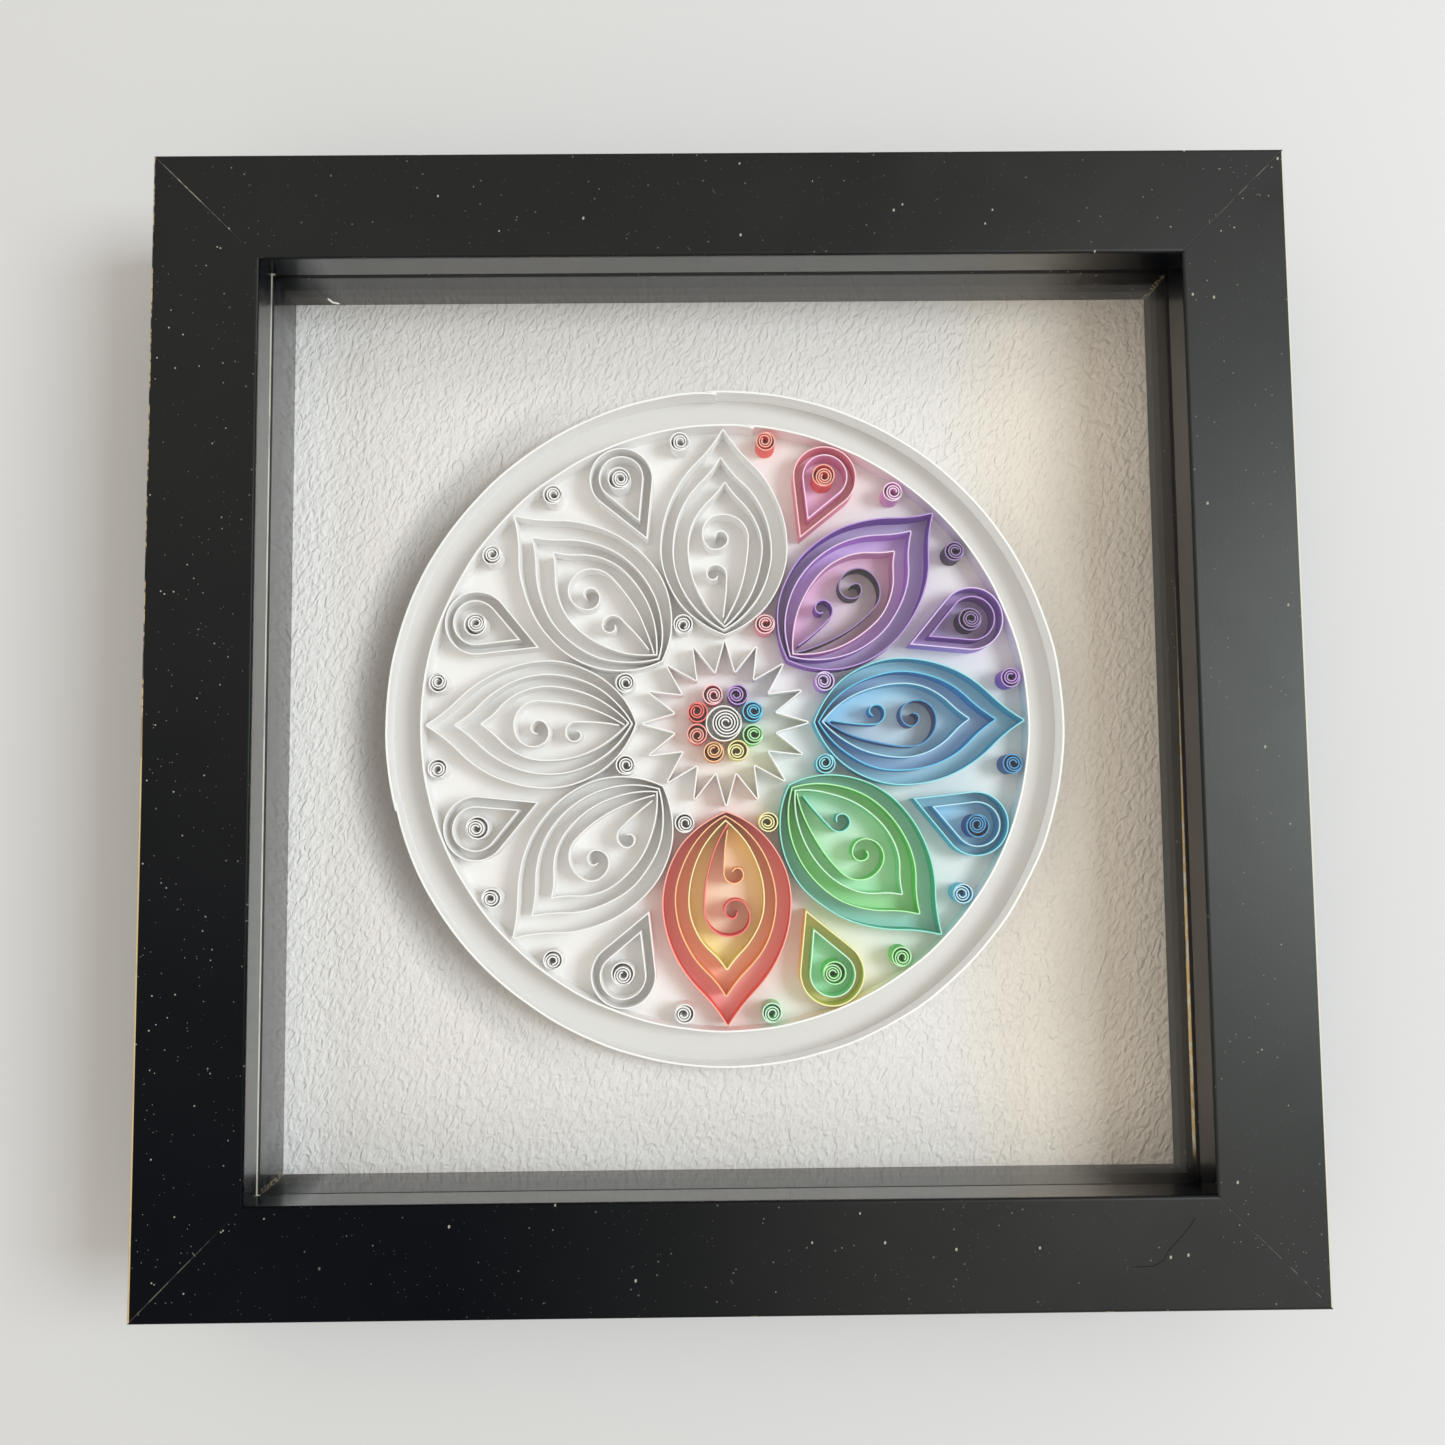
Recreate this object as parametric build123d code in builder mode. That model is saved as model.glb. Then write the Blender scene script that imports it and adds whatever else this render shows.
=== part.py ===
from build123d import *
import math
import os

# A square box frame with a quilled paper rosette behind its glazing, lying on its back.
# +Z points out of the front, +Y to the top of the picture. The origin is the middle of the
# frame's back, on the plane that it lies on. All sizes are in millimetres.

# Frame moulding, four rails of one section mitred at the corners
FRAME_SIZE = 250.0
FRAME_DEPTH = 45.0
FACE_WIDTH = 23.5
LIP_DEPTH = 9.0
WALL_THICKNESS = 9.5
FRONT_ARRIS = 0.7

# Flat stack held in the rabbet, listed from the front
STACK_CLEARANCE = 0.5
GLAZING_THICKNESS = 2.0
LINER_HEIGHT = 17.5
LINER_SETBACK = 1.0
LINER_ARRIS = 0.6
CARD_THICKNESS = 0.5
BACKING_THICKNESS = 3.0

# Steel points pressed into the rails behind the backing
TABS_PER_SIDE = 2
TAB_SPACING = 120.0
TAB_WIDTH = 8.0
TAB_POINT_WIDTH = 4.0
TAB_GRIP = 4.0
TAB_REACH = 9.0
TAB_THICKNESS = 0.5

# Sawtooth hanger pressed into the backing with two pairs of prongs
HANGER_LENGTH = 45.0
HANGER_HEIGHT = 10.0
HANGER_GAUGE = 0.8
HANGER_STANDOFF = 2.4
HANGER_FOOT = 9.0
HANGER_JOGGLE = 2.5
HANGER_TEETH = 8
HANGER_TOOTH_DEPTH = 2.0
HANGER_EDGE_DISTANCE = 22.0
PRONG_LENGTH = 2.4
PRONG_WIDTH = 1.6
PRONG_SPACING = 6.0

# Paper medallion: a disc of smooth paper with strips glued on edge
MEDALLION_RADIUS = 78.5
DISC_THICKNESS = 0.3
STRIP_HEIGHT = 6.5
STRIP_THICKNESS = 0.4
STRIP_CLEARANCE = 0.3
OUTER_RING_THICKNESS = 0.7
INNER_RING_THICKNESS = 0.5
RING_GAP = 7.3

# Rosette: like strips repeated in every sector
SECTORS = 8
FIRST_PETAL_ANGLE = 90.0

# Centre: one tight coil inside a band folded to and fro
CENTRE_COIL_RADIUS = 4.2
COIL_EYE_RADIUS = 0.7
BAND_INNER_RADIUS = 11.5
BAND_OUTER_RADIUS = 20.0
BAND_FOLDS_PER_SECTOR = 2

# Petals: a pointed loop each, as wide as its neighbours let it be, holding one scroll
PETAL_CROWN = 28.2
OGEE_RISE = 0.72
OGEE_WIDTH = 0.42
SCROLL_FOOT_GAP = 2.5
SCROLL_CURL_OFFSET = 2.0
SCROLL_RADII = (5.8, 4.3, 2.9)
SCROLL_ARC = 110.0

# Fillers between the petal tips: a teardrop holding a tight coil
DROP_FOOT_GAP = 5.5
DROP_POINT_ANGLE = 57.0
DROP_COIL_RADIUS = 2.6

# Levels of the stack above the plane that the frame lies on
lip_z = FRAME_DEPTH - LIP_DEPTH
glazing_z = lip_z - GLAZING_THICKNESS
card_face_z = glazing_z - LINER_HEIGHT
card_z = card_face_z - CARD_THICKNESS
backing_z = card_z - BACKING_THICKNESS
tab_z = backing_z - TAB_THICKNESS
paper_z = card_face_z + DISC_THICKNESS

# Half widths of the squares that the stack is made of
half_frame = FRAME_SIZE / 2
half_sight = half_frame - FACE_WIDTH
half_rabbet = half_frame - WALL_THICKNESS
half_stack = half_rabbet - STACK_CLEARANCE
half_clear = half_sight + LINER_SETBACK

sector_angle = 360.0 / SECTORS

# Radii of the rosette: it fills the inner ring, and its petals start at the folded band
inner_ring_radius = MEDALLION_RADIUS - OUTER_RING_THICKNESS - RING_GAP
rosette_radius = inner_ring_radius - INNER_RING_THICKNESS - STRIP_CLEARANCE
strip_reach = STRIP_THICKNESS / 2 + STRIP_CLEARANCE
petal_base_r = BAND_OUTER_RADIUS + strip_reach
petal_tip_r = rosette_radius - strip_reach
petal_shoulder_r = petal_tip_r - PETAL_CROWN
drop_point_r = petal_shoulder_r + DROP_FOOT_GAP
SIDES = {"top": 90.0, "left": 180.0, "bottom": 270.0, "right": 0.0}
finished = []


def keep(piece, name):
    """Label a finished piece with the name of its file."""
    piece.part.label = name
    finished.append(piece.part)


def facing(angle):
    """Unit vector in the plane of the picture, at an angle from +X."""
    return Vector(math.cos(math.radians(angle)), math.sin(math.radians(angle)), 0)


def around(first_angle):
    """Locations turned about the middle of the rosette, one for each sector."""
    return PolarLocations(0, SECTORS, start_angle=first_angle)


def petal_half_width():
    """Half width at the shoulder that leaves the set clearance to the next petal's wall.

    The petal's lower side is an arc from its base to its shoulder, where it runs outwards. Its
    distance from the line between two sectors gives a quadratic in the half width.
    """
    half_sector = math.radians(sector_angle / 2)
    room = petal_shoulder_r * math.sin(half_sector) - strip_reach
    rise = (petal_shoulder_r - petal_base_r) * math.sin(half_sector)
    return (room + math.sqrt(room**2 - rise**2)) / (1 + math.cos(half_sector))


def petal():
    """Strip bent to a lotus petal along +X: round at the base, with an ogee tip."""
    half_width = petal_half_width()
    shoulder = (petal_shoulder_r, half_width)
    flex = (petal_shoulder_r + OGEE_RISE * (petal_tip_r - petal_shoulder_r), OGEE_WIDTH * half_width)
    with BuildSketch(mode=Mode.PRIVATE) as loop:
        with BuildLine():
            TangentArc(shoulder, (petal_base_r, 0), tangent=(-1, 0))
            rise = TangentArc(shoulder, flex, tangent=(1, 0))
            TangentArc(flex, (petal_tip_r, 0), tangent=rise % 1)
            mirror(about=Plane.XZ)
        trace(line_width=STRIP_THICKNESS)
    return loop.sketch


def teardrop(head_r, head_radius):
    """Strip bent to a drop along +X, with its point towards the middle."""
    touch = Vector(head_r, 0) + facing(90 + DROP_POINT_ANGLE / 2) * head_radius
    with BuildSketch(mode=Mode.PRIVATE) as drop:
        with BuildLine():
            side = Line((drop_point_r, 0), touch)
            mirror(about=Plane.XZ)
            ThreePointArc(side @ 1, (head_r + head_radius, 0), (touch.X, -touch.Y))
        make_face()
        offset(amount=-STRIP_THICKNESS, kind=Kind.INTERSECTION, mode=Mode.SUBTRACT)
    return drop.sketch


def tight_coil(radius, centre_r=0.0, eye_radius=0.0):
    """Strip wound up solid, with an eye left by the needle where it is large."""
    with BuildSketch(mode=Mode.PRIVATE) as coil:
        with Locations((centre_r, 0)):
            Circle(radius)
            if eye_radius:
                Circle(eye_radius, mode=Mode.SUBTRACT)
    return coil.sketch


def folded_band():
    """Strip folded to and fro into a star with two points to each sector."""
    points = BAND_FOLDS_PER_SECTOR * SECTORS
    step = 180.0 / points
    corners = [
        facing(i * step) * (BAND_OUTER_RADIUS if i % 2 == 0 else BAND_INNER_RADIUS)
        for i in range(2 * points)
    ]
    with BuildSketch(mode=Mode.PRIVATE) as band:
        with BuildLine():
            Polyline(*corners, close=True)
        make_face()
        offset(amount=-STRIP_THICKNESS, kind=Kind.INTERSECTION, mode=Mode.SUBTRACT)
    return band.sketch


def scroll():
    """Strip with a bowed stem from the petal's base and a free end curled in turns."""
    curl_start = (petal_shoulder_r + SCROLL_CURL_OFFSET, -SCROLL_RADII[0])
    with BuildSketch(mode=Mode.PRIVATE) as curl:
        with BuildLine():
            TangentArc(curl_start, (petal_base_r + SCROLL_FOOT_GAP, 0), tangent=(-1, 0))
            run = JernArc(curl_start, (1, 0), SCROLL_RADII[0], SCROLL_ARC)
            for radius in SCROLL_RADII[1:]:
                run = JernArc(run @ 1, run % 1, radius, SCROLL_ARC)
        trace(line_width=STRIP_THICKNESS)
    return curl.sketch


def glued_strips(name, sketch, locations):
    """Stand a strip on the disc at each location and keep the set under one name."""
    with BuildPart() as strips:
        with BuildSketch(Plane.XY.offset(paper_z)):
            with locations:
                add(sketch)
        extrude(amount=STRIP_HEIGHT)
    keep(strips, name)


# Rails: one section run past both corners, then cut on the mitres
for side, angle in SIDES.items():
    section_plane = Plane(origin=(0, 0, 0), x_dir=facing(angle), z_dir=facing(angle - 90))
    tab_plane = Plane(origin=facing(angle) * half_rabbet, x_dir=facing(angle), z_dir=(0, 0, 1))
    with BuildPart() as rail:
        with BuildSketch(section_plane):
            with BuildLine():
                Polyline(
                    (half_sight, FRAME_DEPTH), (half_frame, FRAME_DEPTH), (half_frame, 0),
                    (half_rabbet, 0), (half_rabbet, lip_z), (half_sight, lip_z), close=True,
                )
            make_face()
        extrude(amount=half_frame, both=True)
        front_edges = rail.edges().filter_by(Axis(origin=(0, 0, 0), direction=facing(angle - 90)))
        fillet(front_edges.group_by(Axis.Z)[-1], FRONT_ARRIS)
        for mitre in (angle - 45, angle + 45):
            split(bisect_by=Plane(origin=(0, 0, 0), z_dir=facing(mitre)), keep=Keep.TOP)
        with BuildSketch(tab_plane.offset(tab_z)):
            with GridLocations(1, TAB_SPACING, 1, TABS_PER_SIDE):
                Rectangle(TAB_GRIP, TAB_WIDTH, align=(Align.MIN, Align.CENTER))
        extrude(amount=TAB_THICKNESS, mode=Mode.SUBTRACT)
    keep(rail, f"frame_rail_{side}")

# Glazing, embossed card and backing fill the rabbet one behind the other
with BuildPart() as glazing:
    with BuildSketch(Plane.XY.offset(glazing_z)):
        Rectangle(2 * half_stack, 2 * half_stack)
    extrude(amount=GLAZING_THICKNESS)
keep(glazing, "front_glazing")

with BuildPart() as card:
    with BuildSketch(Plane.XY.offset(card_z)):
        Rectangle(2 * half_stack, 2 * half_stack)
    extrude(amount=CARD_THICKNESS)
keep(card, "textured_card")

hanger_y = half_stack - HANGER_EDGE_DISTANCE
prong_span = HANGER_LENGTH - HANGER_FOOT
with BuildPart() as backing:
    with BuildSketch(Plane.XY.offset(backing_z)):
        Rectangle(2 * half_stack, 2 * half_stack)
    extrude(amount=BACKING_THICKNESS)
    with BuildSketch(Plane.XY.offset(backing_z)):
        with Locations((0, hanger_y)):
            with GridLocations(prong_span, PRONG_SPACING, 2, 2):
                Rectangle(HANGER_GAUGE, PRONG_WIDTH)
    extrude(amount=PRONG_LENGTH, mode=Mode.SUBTRACT)
keep(backing, "backing_board")

# Liner strips stand between glazing and card, the side ones between top and bottom
for side, angle in SIDES.items():
    half_length = half_stack if side in ("top", "bottom") else half_clear
    strip_plane = Plane(origin=(0, 0, 0), x_dir=facing(angle), z_dir=facing(angle - 90))
    with BuildPart() as liner:
        with BuildSketch(strip_plane):
            with BuildLine():
                Polyline(
                    (half_clear, card_face_z), (half_clear, glazing_z - LINER_ARRIS),
                    (half_clear + LINER_ARRIS, glazing_z), (half_stack, glazing_z),
                    (half_stack, card_face_z), close=True,
                )
            make_face()
        extrude(amount=half_length, both=True)
    keep(liner, f"liner_{side}")

# Steel points: a shank in the rail's slot and a tapered tongue behind the backing
with BuildPart() as tabs:
    for angle in SIDES.values():
        tab_plane = Plane(origin=facing(angle) * half_rabbet, x_dir=facing(angle), z_dir=(0, 0, 1))
        with BuildSketch(tab_plane.offset(tab_z)):
            with GridLocations(1, TAB_SPACING, 1, TABS_PER_SIDE):
                Polygon(
                    (TAB_GRIP, TAB_WIDTH / 2), (0, TAB_WIDTH / 2), (-TAB_REACH, TAB_POINT_WIDTH / 2),
                    (-TAB_REACH, -TAB_POINT_WIDTH / 2), (0, -TAB_WIDTH / 2), (TAB_GRIP, -TAB_WIDTH / 2),
                    align=None,
                )
        extrude(amount=TAB_THICKNESS)
keep(tabs, "backing_points")

# Hanger: a strap with two feet on the backing and a raised toothed middle
standoff_z = backing_z - HANGER_STANDOFF
half_hanger = HANGER_LENGTH / 2
half_bridge = half_hanger - HANGER_FOOT - HANGER_JOGGLE
tooth_pitch = 2 * half_bridge / HANGER_TEETH
with BuildPart() as hanger:
    with BuildSketch(Plane.XZ.offset(-hanger_y)):
        with BuildLine():
            strap = Polyline(
                (-half_hanger, backing_z), (HANGER_FOOT - half_hanger, backing_z),
                (-half_bridge, standoff_z), (half_bridge, standoff_z),
                (half_hanger - HANGER_FOOT, backing_z), (half_hanger, backing_z),
            )
            offset(strap, amount=HANGER_GAUGE, side=Side.RIGHT, kind=Kind.INTERSECTION)
        make_face()
    extrude(amount=HANGER_HEIGHT / 2, both=True)
    with BuildSketch(Plane.XY.offset(standoff_z - HANGER_GAUGE)):
        with Locations((0, hanger_y - HANGER_HEIGHT / 2)):
            with GridLocations(tooth_pitch, 1, HANGER_TEETH, 1):
                Polygon(
                    (-tooth_pitch / 2, 0), (0, HANGER_TOOTH_DEPTH), (tooth_pitch / 2, 0), align=None
                )
    extrude(amount=HANGER_GAUGE, mode=Mode.SUBTRACT)
    with BuildSketch(Plane.XY.offset(backing_z)):
        with Locations((0, hanger_y)):
            with GridLocations(prong_span, PRONG_SPACING, 2, 2):
                Rectangle(HANGER_GAUGE, PRONG_WIDTH)
    extrude(amount=PRONG_LENGTH)
keep(hanger, "sawtooth_hanger")

# Medallion disc and its two rings
with BuildPart() as disc:
    with BuildSketch(Plane.XY.offset(card_face_z)):
        Circle(MEDALLION_RADIUS)
    extrude(amount=DISC_THICKNESS)
keep(disc, "medallion_disc")

RINGS = {
    "outer_ring": (MEDALLION_RADIUS, OUTER_RING_THICKNESS),
    "inner_ring": (inner_ring_radius, INNER_RING_THICKNESS),
}
for name, (radius, thickness) in RINGS.items():
    with BuildPart() as ring:
        with BuildSketch(Plane.XY.offset(paper_z)):
            Circle(radius)
            Circle(radius - thickness, mode=Mode.SUBTRACT)
        extrude(amount=STRIP_HEIGHT)
    keep(ring, name)

# Rosette, with like strips in one file. A drop fills the room from its point to the ring.
on_petals = around(FIRST_PETAL_ANGLE)
between_petals = around(FIRST_PETAL_ANGLE + sector_angle / 2)
at_centre = Locations((0, 0))
drop_slope = math.sin(math.radians(DROP_POINT_ANGLE / 2))
drop_reach = (rosette_radius - drop_point_r) / (1 + drop_slope)
drop_head_r = drop_point_r + drop_reach
glued_strips("centre_coil", tight_coil(CENTRE_COIL_RADIUS, eye_radius=COIL_EYE_RADIUS), at_centre)
glued_strips("folded_band", folded_band(), at_centre)
glued_strips("petals", petal(), on_petals)
glued_strips("scrolls", scroll(), on_petals)
glued_strips("drops", teardrop(drop_head_r, drop_reach * drop_slope), between_petals)
glued_strips("drop_coils", tight_coil(DROP_COIL_RADIUS, drop_head_r), between_petals)

os.makedirs("parts", exist_ok=True)
for part in finished:
    export_step(part, f"parts/{part.label}.step")
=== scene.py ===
"""A box frame lying on its back, with a quilled paper rosette behind its glazing.

The frame's rails, glazing, liners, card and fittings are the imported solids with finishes. The paper
strips are bent again here, thinner and by hand, on the centre lines that the solids have.
Lengths are in millimetres, in the finishes too. Meshes and the sizes of textures take them
in metres, and the camera, the lamps and the floor are set up in metres.
"""

from __future__ import annotations

import logging
import math
import random
from dataclasses import dataclass, field
from enum import Enum
from typing import Union

import bmesh
import bpy
from mathutils import Matrix, Vector, noise

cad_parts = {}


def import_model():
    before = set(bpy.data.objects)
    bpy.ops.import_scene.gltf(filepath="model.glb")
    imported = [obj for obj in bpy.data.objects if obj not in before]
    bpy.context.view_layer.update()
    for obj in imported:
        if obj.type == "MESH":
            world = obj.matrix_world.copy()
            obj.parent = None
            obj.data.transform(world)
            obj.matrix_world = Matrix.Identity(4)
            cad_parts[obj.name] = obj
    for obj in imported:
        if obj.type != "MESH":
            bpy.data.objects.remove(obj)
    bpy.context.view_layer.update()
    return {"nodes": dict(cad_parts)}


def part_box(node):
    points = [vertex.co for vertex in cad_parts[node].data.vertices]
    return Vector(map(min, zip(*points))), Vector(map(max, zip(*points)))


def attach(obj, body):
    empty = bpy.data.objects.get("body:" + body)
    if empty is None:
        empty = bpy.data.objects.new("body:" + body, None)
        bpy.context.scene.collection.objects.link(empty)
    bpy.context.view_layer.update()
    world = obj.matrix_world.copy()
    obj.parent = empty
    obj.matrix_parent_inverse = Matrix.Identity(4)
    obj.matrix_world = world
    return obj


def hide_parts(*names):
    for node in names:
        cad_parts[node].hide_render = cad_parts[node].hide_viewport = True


MM = 0.001
EIGHTH = 45.0
SEAM = 0.1
ROOT = "root"
WAVER_SEED = 8
Colour = tuple[float, float, float]
log = logging.getLogger("rosette")


def tone(red: int, green: int, blue: int) -> Colour:
    """Turn a colour as seen on a screen, 0 to 255, into the linear one that shaders take.

    Args:
        red: Red, 0 to 255.
        green: Green, 0 to 255.
        blue: Blue, 0 to 255.

    Returns:
        The linear red, green and blue.
    """
    parts = [value / 255 for value in (red, green, blue)]
    return tuple(v / 12.92 if v <= 0.04045 else ((v + 0.055) / 1.055) ** 2.4 for v in parts)


class Wire:
    """The value of one shader socket. Arithmetic on it adds Math nodes to its recipe."""

    def __init__(self, recipe: Recipe, socket: bpy.types.NodeSocket) -> None:
        """Wrap a socket of a recipe's node."""
        self.recipe = recipe
        self.socket = socket

    def maths(self, operation: str, *terms: Number) -> Wire:
        """Feed values to a Math node.

        Args:
            operation: The node's operation.
            terms: The node's inputs in order.

        Returns:
            The node's result.
        """
        return self.recipe.node("ShaderNodeMath", {"operation": operation}, dict(enumerate(terms)))

    def output(self, name: str) -> Wire:
        """Another output of the node that this value comes from."""
        return Wire(self.recipe, self.socket.node.outputs[name])

    def step(self, low: float, high: float) -> Wire:
        """Rise smoothly from 0 at one value to 1 at another.

        Args:
            low: Where the result is 0.
            high: Where the result is 1; below low, the result falls instead.

        Returns:
            The eased value, kept between 0 and 1.
        """
        ends = {"From Min": low, "From Max": high, "To Min": 0.0, "To Max": 1.0}
        settings = {"interpolation_type": "SMOOTHSTEP"}
        return self.recipe.node("ShaderNodeMapRange", settings, {"Value": self, **ends})

    def larger(self, other: Number) -> Wire:
        """The larger of two values."""
        return self.maths("MAXIMUM", self, other)

    def smaller(self, other: Number) -> Wire:
        """The smaller of two values."""
        return self.maths("MINIMUM", self, other)

    def toward(self, other: Number, share: Number) -> Wire:
        """This value, taken a share of the way to another."""
        return self + (other - self) * share

    def hypotenuse(self, other: Wire) -> Wire:
        """Length of the line whose two legs are this value and another."""
        return (self**2.0 + other**2.0) ** 0.5

    def __abs__(self) -> Wire:
        """Size of the value without its sign."""
        return self.maths("ABSOLUTE", self)

    def __add__(self, other: Number) -> Wire:
        """Sum."""
        return self.maths("ADD", self, other)

    def __radd__(self, other: Number) -> Wire:
        """Sum with a number on the left."""
        return self.maths("ADD", other, self)

    def __sub__(self, other: Number) -> Wire:
        """Difference."""
        return self.maths("SUBTRACT", self, other)

    def __rsub__(self, other: Number) -> Wire:
        """Difference from a number on the left."""
        return self.maths("SUBTRACT", other, self)

    def __mul__(self, other: Number) -> Wire:
        """Product."""
        return self.maths("MULTIPLY", self, other)

    def __rmul__(self, other: Number) -> Wire:
        """Product with a number on the left."""
        return self.maths("MULTIPLY", other, self)

    def __pow__(self, other: Number) -> Wire:
        """Power."""
        return self.maths("POWER", self, other)


Number = Union[Wire, float, int]
Paint = Union[Wire, Colour]


class Recipe:
    """The node tree of one finish."""

    def __init__(self, name: str) -> None:
        """Start an empty material.

        Args:
            name: The material's name.
        """
        self.material = bpy.data.materials.new(name)
        self.material.use_nodes = True
        self.tree = self.material.node_tree
        self.tree.nodes.clear()
        self.coordinates = self.node("ShaderNodeTexCoord").output("Object")
        split = self.node("ShaderNodeSeparateXYZ", inputs={"Vector": self.coordinates})
        self.x, self.y, self.z = (split.output(axis) * (1 / MM) for axis in "XYZ")

    def away(self) -> Wire:
        """Distance from the picture's middle in millimetres, seen from the front."""
        return self.x.hypotenuse(self.y)

    def node(self, kind: str, settings: dict | None = None, inputs: dict | None = None) -> Wire:
        """Add a node.

        Args:
            kind: The node's type.
            settings: Attributes set before the sockets are looked up.
            inputs: Values or wires for sockets, by name or by number.

        Returns:
            The node's first enabled output, or the node's first input where it has no output.
        """
        made = self.tree.nodes.new(kind)
        for attribute, value in (settings or {}).items():
            setattr(made, attribute, value)
        for key, value in (inputs or {}).items():
            if isinstance(key, int):
                socket = made.inputs[key]
            else:
                socket = next(s for s in made.inputs if s.name == key and s.enabled)
            if isinstance(value, Wire):
                self.tree.links.new(value.socket, socket)
            elif isinstance(value, tuple) and len(socket.default_value) == 4:
                socket.default_value = (*value, 1.0)
            else:
                socket.default_value = value
        outputs = [s for s in made.outputs if s.enabled]
        return Wire(self, outputs[0] if outputs else made.inputs[0])

    def frame_of(self, turn: float, stretch: tuple[float, float, float]) -> Wire:
        """Object coordinates turned about Z and then stretched.

        Args:
            turn: Turn in degrees.
            stretch: Factor of each axis after the turn.

        Returns:
            The coordinates.
        """
        turned = self.node(
            "ShaderNodeMapping",
            inputs={"Vector": self.coordinates, "Rotation": (0.0, 0.0, math.radians(turn))},
        )
        return self.node("ShaderNodeMapping", inputs={"Vector": turned, "Scale": stretch})

    def cloud(
        self,
        size: float,
        detail: float = 2.0,
        turn: float = 0.0,
        stretch: tuple[float, float, float] = (1.0, 1.0, 1.0),
        distortion: float = 0.0,
    ) -> Wire:
        """Noise between 0 and 1.

        Args:
            size: Size of its larger spots in millimetres.
            detail: How many octaves are added.
            turn: Turn of the pattern in degrees.
            stretch: How much the pattern is squeezed along each axis.
            distortion: How much it is swirled.

        Returns:
            The noise.
        """
        inputs = {
            "Vector": self.frame_of(turn, stretch),
            "Scale": 1 / (size * MM),
            "Detail": detail,
            "Distortion": distortion,
        }
        return self.node("ShaderNodeTexNoise", inputs=inputs).output("Fac")

    def specks(
        self,
        spacing: float,
        size: float,
        turn: float = 0.0,
        stretch: tuple[float, float, float] = (1.0, 1.0, 1.0),
        amount: float = 0.5,
        flat: bool = True,
    ) -> Wire:
        """Scattered dust or lint as a mask.

        Args:
            spacing: Mean distance between specks in millimetres.
            size: Radius of the largest ones in millimetres.
            turn: Turn of the pattern in degrees.
            stretch: Squeeze of each axis, so that specks become hairs.
            amount: Share of the surface, 0 to 1, on which specks are left out.
            flat: Whether they lie on a level surface, not on an upright one.

        Returns:
            1 on a speck and 0 beside it.
        """
        inputs = {"Vector": self.frame_of(turn, stretch), "Scale": 1 / (spacing * MM)}
        settings = {"voronoi_dimensions": "2D" if flat else "3D"}
        distance = self.node("ShaderNodeTexVoronoi", settings, inputs).output("Distance")
        patch = self.cloud(spacing * 1.7, detail=2.0, turn=turn + 31.0)
        room = patch.step(amount, amount + 0.1) * (size / spacing)
        return (room - distance).step(0.0, 0.2 * size / spacing)

    def hairline(self, corners: tuple[tuple[float, float], ...], width: float) -> Wire:
        """A thin scratch along a line of points.

        Args:
            corners: Its points from the front, in millimetres.
            width: Its width in millimetres.

        Returns:
            1 on the scratch and 0 beside it.
        """
        nearest: Wire | None = None
        for (x0, y0), (x1, y1) in zip(corners, corners[1:]):
            length = math.hypot(x1 - x0, y1 - y0)
            ux, uy = (x1 - x0) / length, (y1 - y0) / length
            along = (self.x - x0) * ux + (self.y - y0) * uy
            across = (self.y - y0) * ux - (self.x - x0) * uy
            over = abs(along - length / 2) - length / 2
            away = over.larger(0.0) + abs(across)
            nearest = away if nearest is None else nearest.smaller(away)
        return nearest.step(0.6 * width, 0.3 * width)

    def blend(self, share: Number, under: Paint, over: Paint) -> Wire:
        """Mix two colours.

        Args:
            share: Share of the colour on top.
            under: Colour below.
            over: Colour on top.

        Returns:
            The mixed colour.
        """
        inputs = {"Factor": share, "A": under, "B": over}
        return self.node("ShaderNodeMix", {"data_type": "RGBA", "clamp_factor": True}, inputs)

    def relief(self, height: Number, depth: float, strength: float = 1.0) -> Wire:
        """Normals of a surface with fine relief.

        Args:
            height: Height, 0 to 1.
            depth: Depth of the relief in millimetres.
            strength: How much of it is used.

        Returns:
            The normal.
        """
        inputs = {"Strength": strength, "Distance": depth * MM, "Height": height}
        return self.node("ShaderNodeBump", inputs=inputs)

    def surface(self, **inputs: Number | Paint) -> Wire:
        """Add the main shader; underscores in the names stand for spaces.

        Args:
            inputs: Values or wires of its sockets.

        Returns:
            The shader.
        """
        named = {key.replace("_", " "): value for key, value in inputs.items()}
        return self.node("ShaderNodeBsdfPrincipled", inputs=named)

    def cover(self, share: Number, under: Wire, over: Wire) -> Wire:
        """Lay one shader over another.

        Args:
            share: Share of the shader on top.
            under: Shader below.
            over: Shader on top.

        Returns:
            The mixed shader.
        """
        return self.node("ShaderNodeMixShader", inputs={0: share, 1: under, 2: over})

    def done(self, shader: Wire) -> bpy.types.Material:
        """Give the material its shader.

        Args:
            shader: The finished surface.

        Returns:
            The material.
        """
        self.node("ShaderNodeOutputMaterial", inputs={"Surface": shader})
        return self.material


def painted_wall_shade(mix: Recipe, below: float, above: float, right: float) -> Wire:
    """How dull a wall round the picture is: by its side, and most of all in the corners, as painted
    shade.

    Args:
        mix: The finish it is for.
        below: Dullness of the lower wall, 0 to 1.
        above: Dullness of the upper wall.
        right: Dullness of the right wall.

    Returns:
        0 where the film is bright, up to 1 where it is dull.
    """
    # Dulling the film darkens the walls as painted shade, deepest in the corners.
    ax, ay = abs(mix.x), abs(mix.y)
    corner = ax.step(84.0, 100.0).larger(mix.x.step(62.0, 96.0))
    level = corner.larger(below + (above - below) * mix.y.step(-10.0, 10.0))
    upright = (right * mix.x.step(-50.0, 50.0)).larger(0.4 * ay.step(92.0, 101.0))
    return upright.toward(level, (ay - ax).step(-0.2, 0.2))


class Grain(Enum):
    """Which way the film on a rail was drawn."""

    ACROSS = "across"
    UPRIGHT = "upright"


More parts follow.
